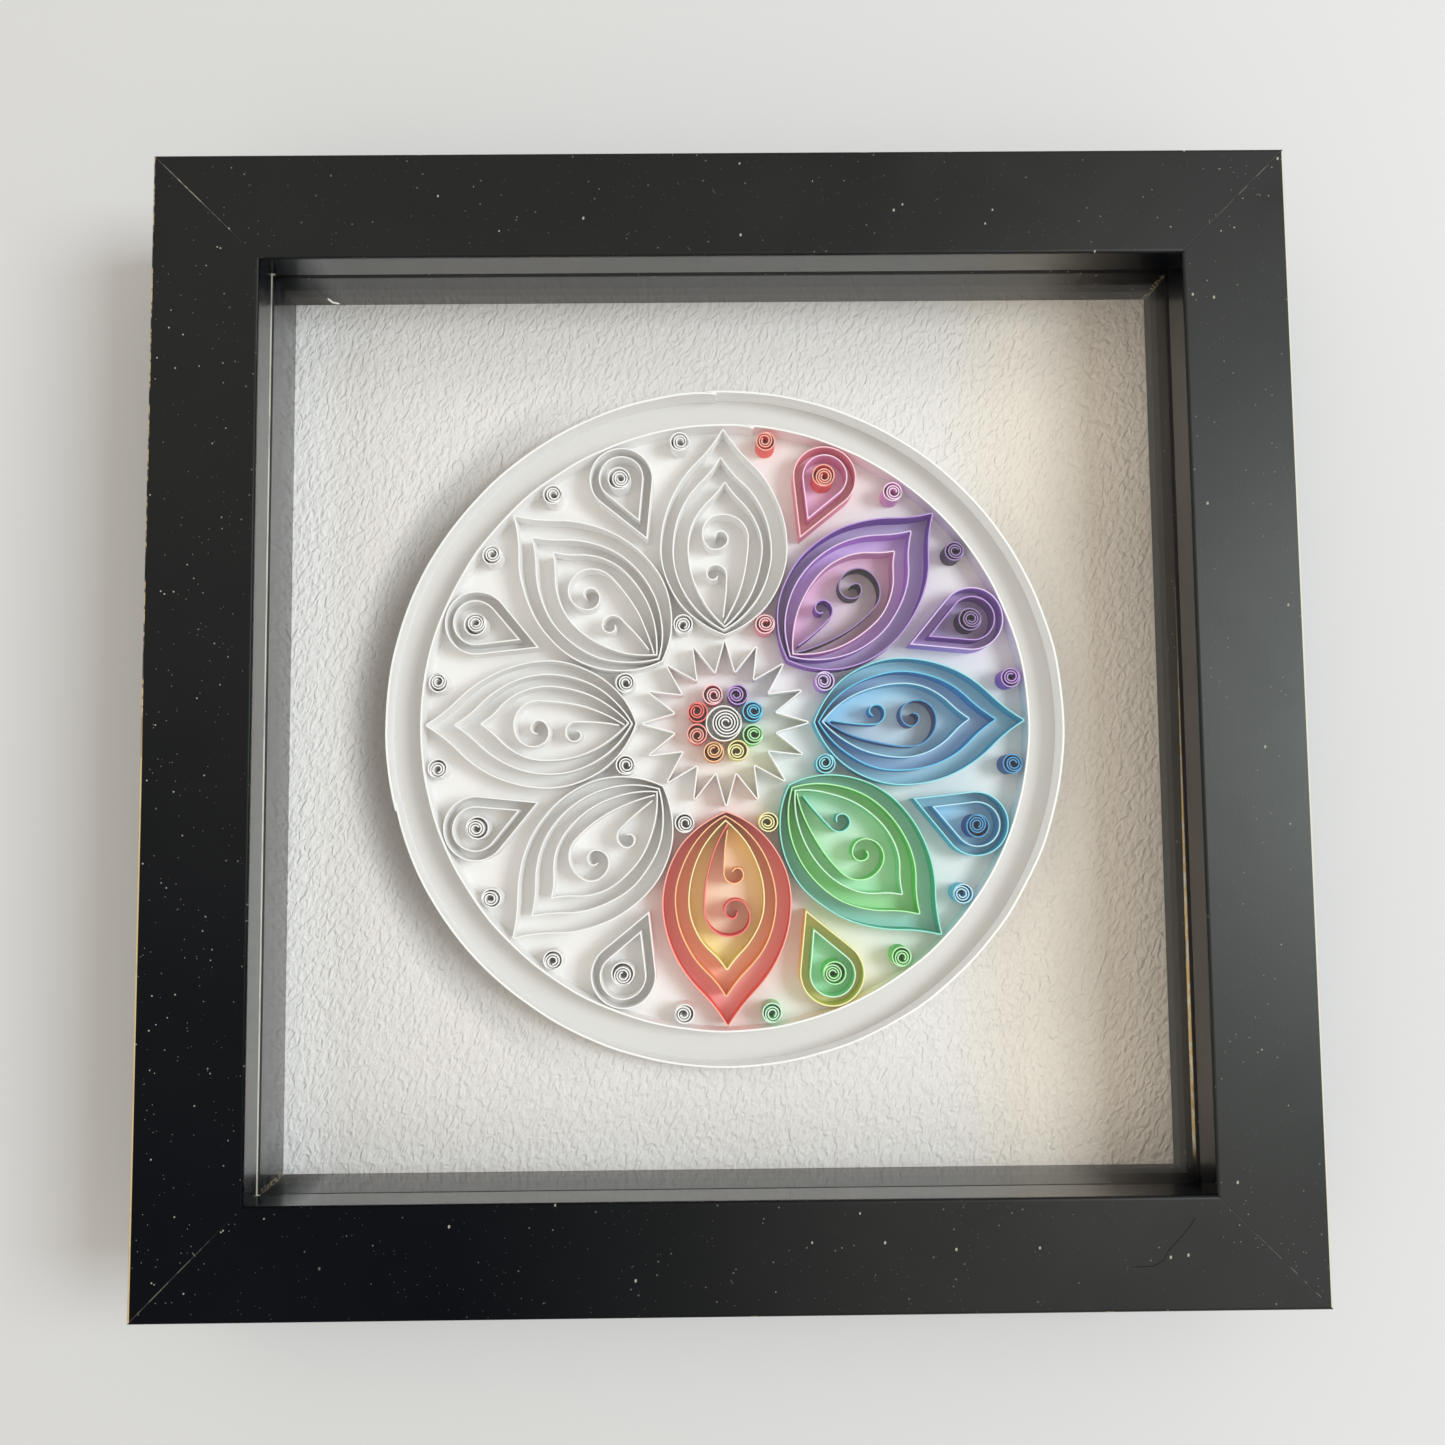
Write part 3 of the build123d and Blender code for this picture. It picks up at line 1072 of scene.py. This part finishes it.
@dataclass
class StripBender:
    """Bends strips on edge and stands them on the disc."""

    stock: StripStock
    papers: dict[Tint, bpy.types.Material]
    swell: float = 9.0
    foot_share: float = 0.45
    made: list[str] = field(default_factory=list)

    def upright_edge(self, line: StripLine, height: float) -> None:
        """Start a strip: a plane on edge at the line's start, cut back to its near upright edge.

        Args:
            line: The centre line.
            height: Height of the strip in millimetres.
        """
        x, y, heading = line.start
        angle = math.radians(heading)
        half = height / 2
        nothing_selected()
        bpy.ops.mesh.primitive_plane_add(
            size=height * MM,
            location=(
                (x + half * math.cos(angle)) * MM,
                (y + half * math.sin(angle)) * MM,
                (self.stock.foot + half) * MM,
            ),
            rotation=(math.pi / 2, 0.0, angle),
        )
        bpy.ops.object.transform_apply(location=True, rotation=True, scale=True)
        bpy.ops.object.mode_set(mode="EDIT")
        bpy.ops.mesh.select_all(action="DESELECT")
        mesh = bmesh.from_edit_mesh(bpy.context.object.data)
        start = Vector((x, y)) * MM
        for vert in mesh.verts:
            vert.select_set((vert.co.xy - start).length > half * MM)
        mesh.select_flush(True)
        bmesh.update_edit_mesh(bpy.context.object.data)
        bpy.ops.mesh.delete(type="VERT")
        bpy.ops.mesh.select_all(action="SELECT")

    def follow(self, line: StripLine) -> None:
        """Draw the edge out along straight runs and spin it round bends.

        Args:
            line: The centre line.
        """
        spot = StripLine(*line.start)
        for move in line.moves:
            angle = math.radians(spot.heading)
            if isinstance(move, Run):
                reach = move.length * MM
                step = (math.cos(angle) * reach, math.sin(angle) * reach, 0.0)
                bpy.ops.mesh.extrude_region_move(TRANSFORM_OT_translate={"value": step})
                spot.run(move.length)
                continue
            side = math.copysign(1.0, move.degrees)
            centre = (
                (spot.x - side * move.radius * math.sin(angle)) * MM,
                (spot.y + side * move.radius * math.cos(angle)) * MM,
                0.0,
            )
            finest = 2 * math.degrees(math.acos(max(0.5, 1 - self.stock.sagitta / move.radius)))
            bpy.ops.mesh.spin(
                steps=max(2, math.ceil(abs(move.degrees) / finest)),
                angle=-math.radians(move.degrees),
                center=centre,
                axis=(0.0, 0.0, 1.0),
            )
            spot.bend(move.radius, move.degrees)

    def stand(
        self,
        name: str,
        line: StripLine,
        tint: Tint,
        closed: bool = False,
        thickness: float | None = None,
        lower: float = 0.0,
    ) -> bpy.types.Object:
        """Bend one strip.

        Args:
            name: The piece's name.
            line: Its centre line.
            tint: Its paper.
            closed: Whether its ends are glued together.
            thickness: Its thickness, where it isn't the stock's.
            lower: How much lower than the stock it stands.

        Returns:
            The piece.
        """
        self.upright_edge(line, self.stock.height - lower)
        self.follow(line)
        bpy.ops.mesh.select_all(action="SELECT")
        if closed:
            bpy.ops.mesh.remove_doubles(threshold=self.stock.weld * MM)
        bpy.ops.mesh.normals_make_consistent(inside=False)
        bpy.ops.object.mode_set(mode="OBJECT")
        piece = bpy.context.object
        piece.name = name
        wall = piece.modifiers.new("wall", "SOLIDIFY")
        wall.thickness = (thickness or self.stock.thickness) * MM
        wall.offset = 0.0
        wall.use_even_offset = True
        bpy.ops.object.modifier_apply(modifier="wall")
        soft = piece.modifiers.new("soft", "BEVEL")
        soft.width = self.stock.arris * MM
        soft.segments = 1
        soft.limit_method = "ANGLE"
        soft.angle_limit = math.radians(self.stock.arris_angle)
        bpy.ops.object.modifier_apply(modifier="soft")
        bpy.ops.object.shade_smooth_by_angle(angle=math.radians(self.stock.smooth_angle))
        self.dress(piece, tint)
        return piece

    def dress(self, piece: bpy.types.Object, tint: Tint) -> None:
        """Give a strip its paper."""
        piece.data.materials.clear()
        piece.data.materials.append(self.papers[tint])

    def pattern(self, kind: str, shape: Shape) -> bpy.types.Object:
        """Bend a white strip that is copied to its places and then taken away.

        Args:
            kind: What it is the pattern of.
            shape: Its outline; the loops are closed.

        Returns:
            The pattern.
        """
        closed = isinstance(shape, (PetalLoop, DropLoop))
        return self.stand(f"{kind}_pattern", shape.line(), Tint.WHITE, closed=closed)

    def copy(self, piece: bpy.types.Object, name: str, tint: Tint) -> bpy.types.Object:
        """Copy a strip with a mesh of its own.

        Args:
            piece: The strip that is copied.
            name: The copy's name.
            tint: The copy's paper.

        Returns:
            The copy.
        """
        nothing_selected()
        piece.select_set(True)
        bpy.context.view_layer.objects.active = piece
        bpy.ops.object.duplicate(linked=False)
        twin = bpy.context.object
        twin.name = name
        self.dress(twin, tint)
        return twin

    def settle(
        self,
        piece: bpy.types.Object,
        turn: float,
        shift: tuple[float, float] = (0.0, 0.0),
        mirrored: bool = False,
        waver: float = 0.1,
        node: str = "",
    ) -> bpy.types.Object:
        """Put a strip in its place, a little unsteady as from the hand, and hang it on the frame.

        Args:
            piece: The strip, drawn about the middle and along +X.
            turn: Turn about the middle in degrees.
            shift: Move before the turn, in millimetres.
            mirrored: Whether it is the other way round.
            waver: How far its line strays, in millimetres.
            node: The solid that it stands for, or nothing.

        Returns:
            The strip.
        """
        place = Matrix.Rotation(math.radians(turn), 4, "Z")
        place = place @ Matrix.Translation((shift[0] * MM, shift[1] * MM, 0.0))
        if mirrored:
            place = place @ Matrix.Diagonal((1.0, -1.0, 1.0, 1.0))
        piece.data.transform(place)
        if mirrored:
            piece.data.flip_normals()
        seed = len(self.made) * 3.7
        for vert in piece.data.vertices:
            rise = (vert.co.z / MM - self.stock.foot) / self.stock.height
            spot = Vector((vert.co.x / MM / self.swell, vert.co.y / MM / self.swell, seed))
            held = self.foot_share + (1.0 - self.foot_share) * rise
            stray = noise.noise_vector(spot) * waver * MM * held
            vert.co.x += stray.x
            vert.co.y += stray.y
        piece.data.update()
        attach(piece, ROOT)
        if node:
            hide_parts(node)
        self.made.append(piece.name)
        return piece


@dataclass(frozen=True)
class Coil:
    """A strip wound tightly from its eye outwards."""

    radius: float
    eye: float = 0.84
    pitch: float = 0.56

    def line(self) -> StripLine:
        """Centre line, in half turns that widen by half the pitch each."""
        path = StripLine(self.eye, 0.0, 90.0)
        reach = self.eye
        while reach < self.radius - self.pitch:
            path.bend(reach, 180.0)
            reach += self.pitch / 2
        return path.bend(self.radius - 0.2, 180.0).bend(self.radius - 0.15, 200.0)


@dataclass(frozen=True)
class PetalLoop:
    """A strip bent to a lotus petal: round at the base, with an ogee tip."""

    base: float
    shoulder: float
    half_width: float
    tip: float
    rise: float = 0.72
    narrowing: float = 0.42
    pinch: float = 0.25

    @property
    def flex(self) -> float:
        """Where the side turns from round to hollow, measured along the petal."""
        return self.shoulder + self.rise * (self.tip - self.shoulder)

    @property
    def neck(self) -> float:
        """Half of the petal's width at the flex."""
        return self.narrowing * self.half_width

    def line(self) -> StripLine:
        """Centre line from the base out along the lower side and back along the upper."""
        chord = math.degrees(math.atan2(self.half_width, self.shoulder - self.base))
        path = StripLine(self.base, 0.0, -2 * chord)
        path.reach(self.shoulder, -self.half_width)
        path.reach(self.flex, -self.neck)
        path.reach(self.tip, 0.0)
        out = list(path.moves)
        turn = 180.0 - 2 * path.heading
        back_off = self.pinch * math.tan(math.radians(turn / 2))
        last = out[-1]
        trimmed = math.degrees(back_off / last.radius)
        shorter = Bend(last.radius, math.copysign(abs(last.degrees) - trimmed, last.degrees))
        whole = StripLine(*path.start)
        for move in [*out[:-1], shorter]:
            whole.bend(move.radius, move.degrees)
        whole.bend(self.pinch, 180.0 - 2 * whole.heading)
        for move in [shorter, *reversed(out[:-1])]:
            whole.bend(move.radius, move.degrees)
        return whole

    def outside(self, along: Wire, across: Wire) -> Wire:
        """How far a point lies outside the loop, in millimetres.

        Args:
            along: Its distance from the middle along the petal.
            across: Its distance to the side, never below zero.

        Returns:
            The distance, below zero inside the loop.
        """
        past = along - self.shoulder
        stretches = (
            (self.shoulder - self.base, self.half_width),
            (self.flex - self.shoulder, self.half_width - self.neck),
        )
        sides = []
        for run, fall in stretches:
            radius = run / math.sin(2 * math.atan2(fall, run))
            sides.append(past.hypotenuse(across + (radius - self.half_width)) - radius)
        slope = math.atan2(self.neck, self.tip - self.flex)
        tip = across * math.cos(slope) - (self.tip - along) * math.sin(slope)
        outer = sides[1].toward(tip, along.step(self.flex, self.flex + SEAM))
        return sides[0].toward(outer, past.step(0.0, SEAM))


@dataclass(frozen=True)
class DropLoop:
    """A strip bent to a drop with its point towards the middle."""

    point: float
    head: float
    radius: float

    def line(self) -> StripLine:
        """Centre line from the point, round the head and back."""
        half_angle = math.degrees(math.asin(self.radius / (self.head - self.point)))
        side = math.sqrt((self.head - self.point) ** 2 - self.radius**2)
        path = StripLine(self.point, 0.0, -half_angle)
        return path.run(side).bend(self.radius, 180.0 + 2 * half_angle).run(side)

    def outside(self, along: Wire, across: Wire) -> Wire:
        """How far a point lies outside the loop, in millimetres.

        Args:
            along: Its distance from the middle along the drop.
            across: Its distance to the side, never below zero.

        Returns:
            The distance, below zero inside the loop.
        """
        slope = math.asin(self.radius / (self.head - self.point))
        past = along - self.head
        head = past.hypotenuse(across) - self.radius
        side = across * math.cos(slope) - (along - self.point) * math.sin(slope)
        touch = -self.radius * math.sin(slope)
        return side.toward(head, past.step(touch, touch + SEAM))


@dataclass(frozen=True)
class Curl:
    """A strip with a bowed stem and its free end curled inwards."""

    foot: tuple[float, float]
    start: tuple[float, float]
    radii: tuple[float, ...]
    arc: float = 110.0

    def line(self) -> StripLine:
        """Centre line from the foot to the free end."""
        dx, dy = self.start[0] - self.foot[0], self.start[1] - self.foot[1]
        path = StripLine(*self.foot, 2 * math.degrees(math.atan2(dy, dx)))
        path.reach(*self.start)
        for radius in self.radii:
            path.bend(radius, self.arc)
        return path


Shape = Union[Coil, PetalLoop, DropLoop, Curl]


@dataclass(frozen=True)
class Petal:
    """Papers of one petal, from its outer loop inwards, and of its two curls."""

    loops: tuple[Tint, Tint, Tint]
    curl: Tint
    small_curl: Tint


@dataclass(frozen=True)
class Drop:
    """Papers of one drop: its outer and inner loop, and its coil."""

    loop: Tint
    inner: Tint
    coil: Tint


FIRST_PETAL = 90.0
FIRST_DROP = FIRST_PETAL + EIGHTH / 2
WHITE_PETAL = Petal((Tint.WHITE,) * 3, Tint.WHITE, Tint.WHITE)
WHITE_DROP = Drop(Tint.WHITE, Tint.WHITE, Tint.WHITE)
PETALS = (WHITE_PETAL,) * 4 + (
    Petal((Tint.CORAL, Tint.ORANGE, Tint.YELLOW), Tint.RED, Tint.ORANGE),
    Petal((Tint.TEAL, Tint.GREEN, Tint.MINT), Tint.GREEN, Tint.TEAL),
    Petal((Tint.TURQUOISE, Tint.BLUE, Tint.SKY), Tint.NAVY, Tint.BLUE),
    Petal((Tint.PURPLE, Tint.LILAC, Tint.ORCHID), Tint.AUBERGINE, Tint.PURPLE),
)
DROPS = (WHITE_DROP,) * 4 + (
    Drop(Tint.YELLOW, Tint.MINT, Tint.GREEN),
    Drop(Tint.TURQUOISE, Tint.SKY, Tint.NAVY),
    Drop(Tint.LILAC, Tint.PURPLE, Tint.AUBERGINE),
    Drop(Tint.ROSE, Tint.ORCHID, Tint.CORAL),
)


def placed(row: tuple, first: float) -> list[tuple[float, Union[Petal, Drop]]]:
    """Place a row round the disc, one in every eighth and anticlockwise.

    Args:
        row: The petals or the drops.
        first: Bearing of the first one in degrees.

    Returns:
        The bearing of each, from 0 up to 360 degrees, with the petal or drop.
    """
    return [((first + EIGHTH * index) % 360.0, item) for index, item in enumerate(row)]


def discard(*patterns: bpy.types.Object) -> None:
    """Take away strips that were only there to be copied."""
    for pattern in patterns:
        bpy.data.objects.remove(pattern)


@dataclass
class Rings:
    """The two round walls of the medallion, each lapped over its own end at the top."""

    bender: StripBender
    outer: float = 78.15
    outer_thickness: float = 0.5
    inner: float = 70.2
    inner_thickness: float = 0.45
    lap: float = 0.5
    seams: tuple[tuple[float, float], ...] = ((91.0, 4.0), (193.0, 13.0))
    inner_seams: tuple[tuple[float, float], ...] = ((84.0, 4.0),)

    def strip_between(self, radius: float, first: float, lead: float, last: float) -> StripLine:
        """Centre line of a strip that starts inside another one's end and comes out round it.

        Args:
            radius: Radius of the ring.
            first: Angle at which it starts in degrees.
            lead: How many degrees it takes to come out to the ring.
            last: Angle at which it ends.

        Returns:
            The centre line.
        """
        inside, start, there = radius - self.lap, math.radians(first), math.radians(first + lead)
        x, y = inside * math.cos(start), inside * math.sin(start)
        far_x, far_y = radius * math.cos(there), radius * math.sin(there)
        chord = math.degrees(math.atan2(far_y - y, far_x - x))
        path = StripLine(x, y, 2 * chord - (first + lead + 90.0))
        return path.reach(far_x, far_y).bend(radius, last - first - lead)

    def build(self) -> None:
        """Bend the strips of both rings."""
        for name, radius, thickness, seams in (
            ("outer_ring", self.outer, self.outer_thickness, self.seams),
            ("inner_ring", self.inner, self.inner_thickness, self.inner_seams),
        ):
            ends = [angle + 1.5 for angle, _ in (*seams[1:], (seams[0][0] + 360.0, 0.0))]
            for index, ((first, lead), last) in enumerate(zip(seams, ends)):
                path = self.strip_between(radius, first, lead, last)
                strip = f"{name}_strip_{index}"
                ring = self.bender.stand(strip, path, Tint.WHITE, thickness=thickness)
                self.bender.settle(ring, 0.0, waver=0.16, node=name)


@dataclass
class Centre:
    """The middle of the rosette: a coil, a ring of pearls and a folded band."""

    bender: StripBender
    coil_radius: float = 4.2
    pearl_radius: float = 2.4
    pearl_place: float = 7.05
    band_inner: float = 11.75
    band_outer: float = 19.6
    band_points: int = 16
    fold: float = 0.22
    coil_pitch: float = 0.68
    coil_turn: float = 12.0
    pearl_spin: float = 1.9
    pearl_tints: tuple[Tint, ...] = (
        Tint.BLUE,
        Tint.PURPLE,
        Tint.ROSE,
        Tint.RED,
        Tint.CORAL,
        Tint.ORANGE,
        Tint.YELLOW,
        Tint.GREEN,
    )

    def band_line(self) -> StripLine:
        """Centre line of the folded band, each fold a tight bend."""
        step = math.pi / self.band_points
        corners = []
        for index in range(2 * self.band_points + 2):
            radius = self.band_outer if index % 2 == 0 else self.band_inner
            corners.append(Vector((math.cos(index * step), math.sin(index * step))) * radius)
        here = start = (corners[0] + corners[1]) / 2
        along = corners[1] - corners[0]
        path = StripLine(start.x, start.y, math.degrees(math.atan2(along.y, along.x)))
        for corner, after in zip(corners[1:], corners[2:]):
            into, out = corner - here, after - corner
            turn = -math.degrees(into.angle_signed(out))
            trim = self.fold * math.tan(math.radians(abs(turn) / 2))
            path.run(into.length - trim).bend(self.fold, turn)
            here = corner + out.normalized() * trim
        return path.run((start - here).length)

    def build(self) -> None:
        """Bend the coil, the pearls and the band."""
        bender = self.bender
        winding = Coil(self.coil_radius, pitch=self.coil_pitch).line()
        coil = bender.stand("centre_coil_strip", winding, Tint.WHITE)
        bender.settle(coil, self.coil_turn, waver=0.03, node="centre_coil")
        pearl = bender.pattern("pearl", Coil(self.pearl_radius))
        for index, tint in enumerate(self.pearl_tints):
            angle = 360.0 / len(self.pearl_tints) * (index + 0.5)
            twin = bender.copy(pearl, f"centre_pearl_{index}", tint)
            twin.data.transform(Matrix.Rotation(self.pearl_spin * index, 4, "Z"))
            bender.settle(twin, angle, (self.pearl_place, 0.0), waver=0.05)
        discard(pearl)
        band = bender.stand("folded_band_strip", self.band_line(), Tint.WHITE, closed=True)
        bender.settle(band, 0.0, waver=0.14, node="folded_band")


@dataclass
class PetalRow:
    """Eight petals, each of nested loops with a large and a small curl inside."""

    bender: StripBender
    outer: PetalLoop = PetalLoop(20.5, 41.0, 14.66, 69.2)
    middle: PetalLoop = PetalLoop(21.5, 40.8, 11.5, 62.6)
    inner: PetalLoop = PetalLoop(22.4, 40.9, 8.6, 56.6)
    curl: Curl = Curl((23.2, 0.0), (43.0, -5.8), (5.8, 4.3, 2.9, 1.9, 1.2))
    small_curl: Curl = Curl((24.6, 0.35), (34.4, -0.4), (2.5, 1.8, 1.2), 115.0)

    def build(self) -> None:
        """Bend one of each strip and copy it to every petal."""
        bender = self.bender
        rng = random.Random(8)
        parts = (
            ("petal", bender.pattern("petal", self.outer), "petals", 0.16, 0.15),
            ("petal_middle", bender.pattern("middle", self.middle), "", 0.22, 0.5),
            ("petal_inner", bender.pattern("inner", self.inner), "", 0.22, 0.5),
            ("scroll", bender.pattern("scroll", self.curl), "scrolls", 0.3, 0.5),
            ("small_curl", bender.pattern("small_curl", self.small_curl), "", 0.3, 0.5),
        )
        for angle, petal in placed(PETALS, FIRST_PETAL):
            tints = (*petal.loops, petal.curl, petal.small_curl)
            for (kind, pattern, node, waver, sway), tint in zip(parts, tints):
                twin = bender.copy(pattern, f"{kind}_{angle:03.0f}", tint)
                turn = angle + rng.uniform(-sway, sway)
                bender.settle(twin, turn, waver=waver, node=node)
        discard(*(pattern for _, pattern, *_ in parts))


@dataclass
class DropRow:
    """Eight drops between the petals, with coils in them and pearls beside them."""

    bender: StripBender
    loop: DropLoop = DropLoop(46.9, 62.2, 7.28)
    inner: DropLoop = DropLoop(51.6, 62.4, 5.1)
    coil_place: float = 62.3
    coil_radius: float = 2.7
    pearl_place: float = 67.0
    pearl_radius: float = 2.3
    pearl_angle: float = 8.6
    bead_place: float = 24.9
    any_turn: float = 6.28

    def build(self) -> None:
        """Bend one of each strip and copy it to every drop."""
        bender = self.bender
        rng = random.Random(21)
        loop = bender.pattern("drop", self.loop)
        inner = bender.pattern("drop_inner", self.inner)
        coil = bender.pattern("coil", Coil(self.coil_radius))
        pearl = bender.pattern("rim_pearl", Coil(self.pearl_radius))
        off_drop = EIGHTH / 2 - self.pearl_angle
        for angle, drop in placed(DROPS, FIRST_DROP):
            tag = f"{angle:05.1f}".replace(".", "_")
            for pattern, kind, tint, node, waver in (
                (loop, "drop", drop.loop, "drops", 0.12),
                (inner, "drop_inner", drop.inner, "", 0.16),
            ):
                twin = bender.copy(pattern, f"{kind}_{tag}", tint)
                bender.settle(twin, angle, waver=waver, node=node)
            spots = (
                (coil, "drop_coil", drop.coil, "drop_coils", 0.0, self.coil_place),
                (pearl, "rim_pearl_a", drop.inner, "", -off_drop, self.pearl_place),
                (pearl, "rim_pearl_b", drop.coil, "", off_drop, self.pearl_place),
                (pearl, "bead", drop.loop, "", 0.0, self.bead_place),
            )
            for pattern, kind, tint, node, off, place in spots:
                twin = bender.copy(pattern, f"{kind}_{tag}", tint)
                spin = rng.uniform(0.0, self.any_turn)
                twin.data.transform(Matrix.Rotation(spin, 4, "Z"))
                bender.settle(twin, angle + off, (place, 0.0), waver=0.06, node=node)
        discard(loop, inner, coil, pearl)


def dyed(papers: list[tuple[float, Tint]]) -> dict[float, Tint]:
    """The papers that aren't white, by their bearing between -180 and 180 degrees."""
    return {(angle + 180.0) % 360.0 - 180.0: t for angle, t in papers if t is not Tint.WHITE}


def painted_bounces() -> tuple[PaintedBounce, ...]:
    """The painted bounce light thrown on the disc by the dyed petals and drops, from the outer loops
    inwards.
    """
    petals, drops = placed(PETALS, FIRST_PETAL), placed(DROPS, FIRST_DROP)
    made = []
    for level, loop in enumerate((PetalRow.outer, PetalRow.middle, PetalRow.inner)):
        made.append(PaintedBounce(loop, 0.0, dyed([(angle, p.loops[level]) for angle, p in petals])))
    for loop, part in ((DropRow.loop, "loop"), (DropRow.inner, "inner")):
        tints = dyed([(angle, getattr(drop, part)) for angle, drop in drops])
        made.append(PaintedBounce(loop, EIGHTH / 2, tints))
    return tuple(made)


@dataclass
class Dressing:
    """Finishes of the solids that stay."""

    nodes: dict[str, bpy.types.Object]

    def wear(self, name: str, material: bpy.types.Material) -> None:
        """Give a solid its material.

        Args:
            name: The solid's name.
            material: Its finish.
        """
        solid = self.nodes[name]
        if not solid.material_slots:
            solid.data.materials.append(material)
        for slot in solid.material_slots:
            slot.material = material
        log.info("%s wears %s", name, material.name)

    def build(self) -> None:
        """Dress every solid that isn't bent again."""
        across, upright = FilmedRail(Grain.ACROSS).make(), FilmedRail(Grain.UPRIGHT).make()
        liner, steel = LinerFilm().make(), PlatedSteel().make()
        for side, rail in (("top", across), ("bottom", across), ("left", upright), ("right", upright)):
            self.wear(f"frame_rail_{side}", rail)
            self.wear(f"liner_{side}", liner)
        self.wear("front_glazing", ClearPane().make())
        self.wear("textured_card", EmbossedCard().make())
        self.wear("medallion_disc", SmoothPaper(painted_bounces()).make())
        self.wear("backing_board", Hardboard().make())
        self.wear("backing_points", steel)
        self.wear("sawtooth_hanger", steel)


@dataclass(frozen=True)
class Lamp:
    """A square soft lamp aimed at the picture."""

    name: str
    place: tuple[float, float, float]
    size: float
    power: float
    colour: Colour
    aim: tuple[float, float, float] = (0.0, 0.0, 0.02)

    def hang(self) -> None:
        """Add the lamp."""
        nothing_selected()
        bpy.ops.object.light_add(type="AREA", location=self.place)
        lamp = bpy.context.object
        lamp.name = self.name
        lamp.data.size = self.size
        lamp.data.energy = self.power
        lamp.data.color = self.colour
        beam = Vector(self.aim) - Vector(self.place)
        lamp.rotation_euler = beam.to_track_quat("-Z", "Y").to_euler()


@dataclass(frozen=True)
class Studio:
    """Floor, light and the photograph's viewpoint."""

    camera_place: tuple[float, float, float] = (-0.002891, -0.021695, 0.3181)
    camera_turn: tuple[float, float, float] = (4.22629, -0.39025, -0.56157)
    lens: float = 31.907
    sensor: float = 36.0
    nearest: float = 0.01
    floor_size: float = 6.0
    sky: float = 0.58
    sky_colour: Colour = (1.0, 0.965, 0.92)
    lamps: tuple[Lamp, ...] = (
        Lamp("window_lamp", (0.9, 0.08, 1.15), 0.52, 12.5, (0.85, 0.94, 1.0)),
        Lamp("ceiling_lamp", (0.0, 0.0, 1.6), 2.2, 7.6, (1.0, 0.89, 0.71)),
    )

    def set_up(self) -> None:
        """Build the camera, the floor, the sky and the lamps."""
        nothing_selected()
        turn = tuple(math.radians(angle) for angle in self.camera_turn)
        bpy.ops.object.camera_add(location=self.camera_place, rotation=turn)
        camera = bpy.context.object
        camera.name = "photo_camera"
        camera.data.lens = self.lens
        camera.data.sensor_width = self.sensor
        camera.data.clip_start = self.nearest
        bpy.context.scene.camera = camera
        nothing_selected()
        bpy.ops.mesh.primitive_plane_add(size=self.floor_size)
        floor = bpy.context.object
        floor.name = "floor"
        floor.data.materials.append(FloorPaint().make())
        world = bpy.data.worlds.new("sky")
        bpy.context.scene.world = world
        world.use_nodes = True
        sky = world.node_tree.nodes["Background"]
        sky.inputs["Color"].default_value = (*self.sky_colour, 1.0)
        sky.inputs["Strength"].default_value = self.sky
        for lamp in self.lamps:
            lamp.hang()
        bpy.context.scene.view_settings.view_transform = "Standard"


def main() -> None:
    """Load the frame, dress it, bend the strips and set up the studio."""
    logging.basicConfig(level=logging.INFO, format="%(name)s: %(message)s")
    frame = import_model()
    Studio().set_up()
    Dressing(frame["nodes"]).build()
    low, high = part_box("petals")
    stock = StripStock(low[2] / MM, high[2] / MM)
    papers = {tint: StripPaper(tint, stock.top).make() for tint in Tint}
    noise.seed_set(WAVER_SEED)
    bender = StripBender(stock, papers)
    for builder in (Rings(bender), Centre(bender), PetalRow(bender), DropRow(bender)):
        before = len(bender.made)
        builder.build()
        names = bender.made[before:]
        log.info("%s: %d strips, %s", type(builder).__name__, len(names), ", ".join(names))
    nothing_selected()


if __name__ == "__main__":
    main()
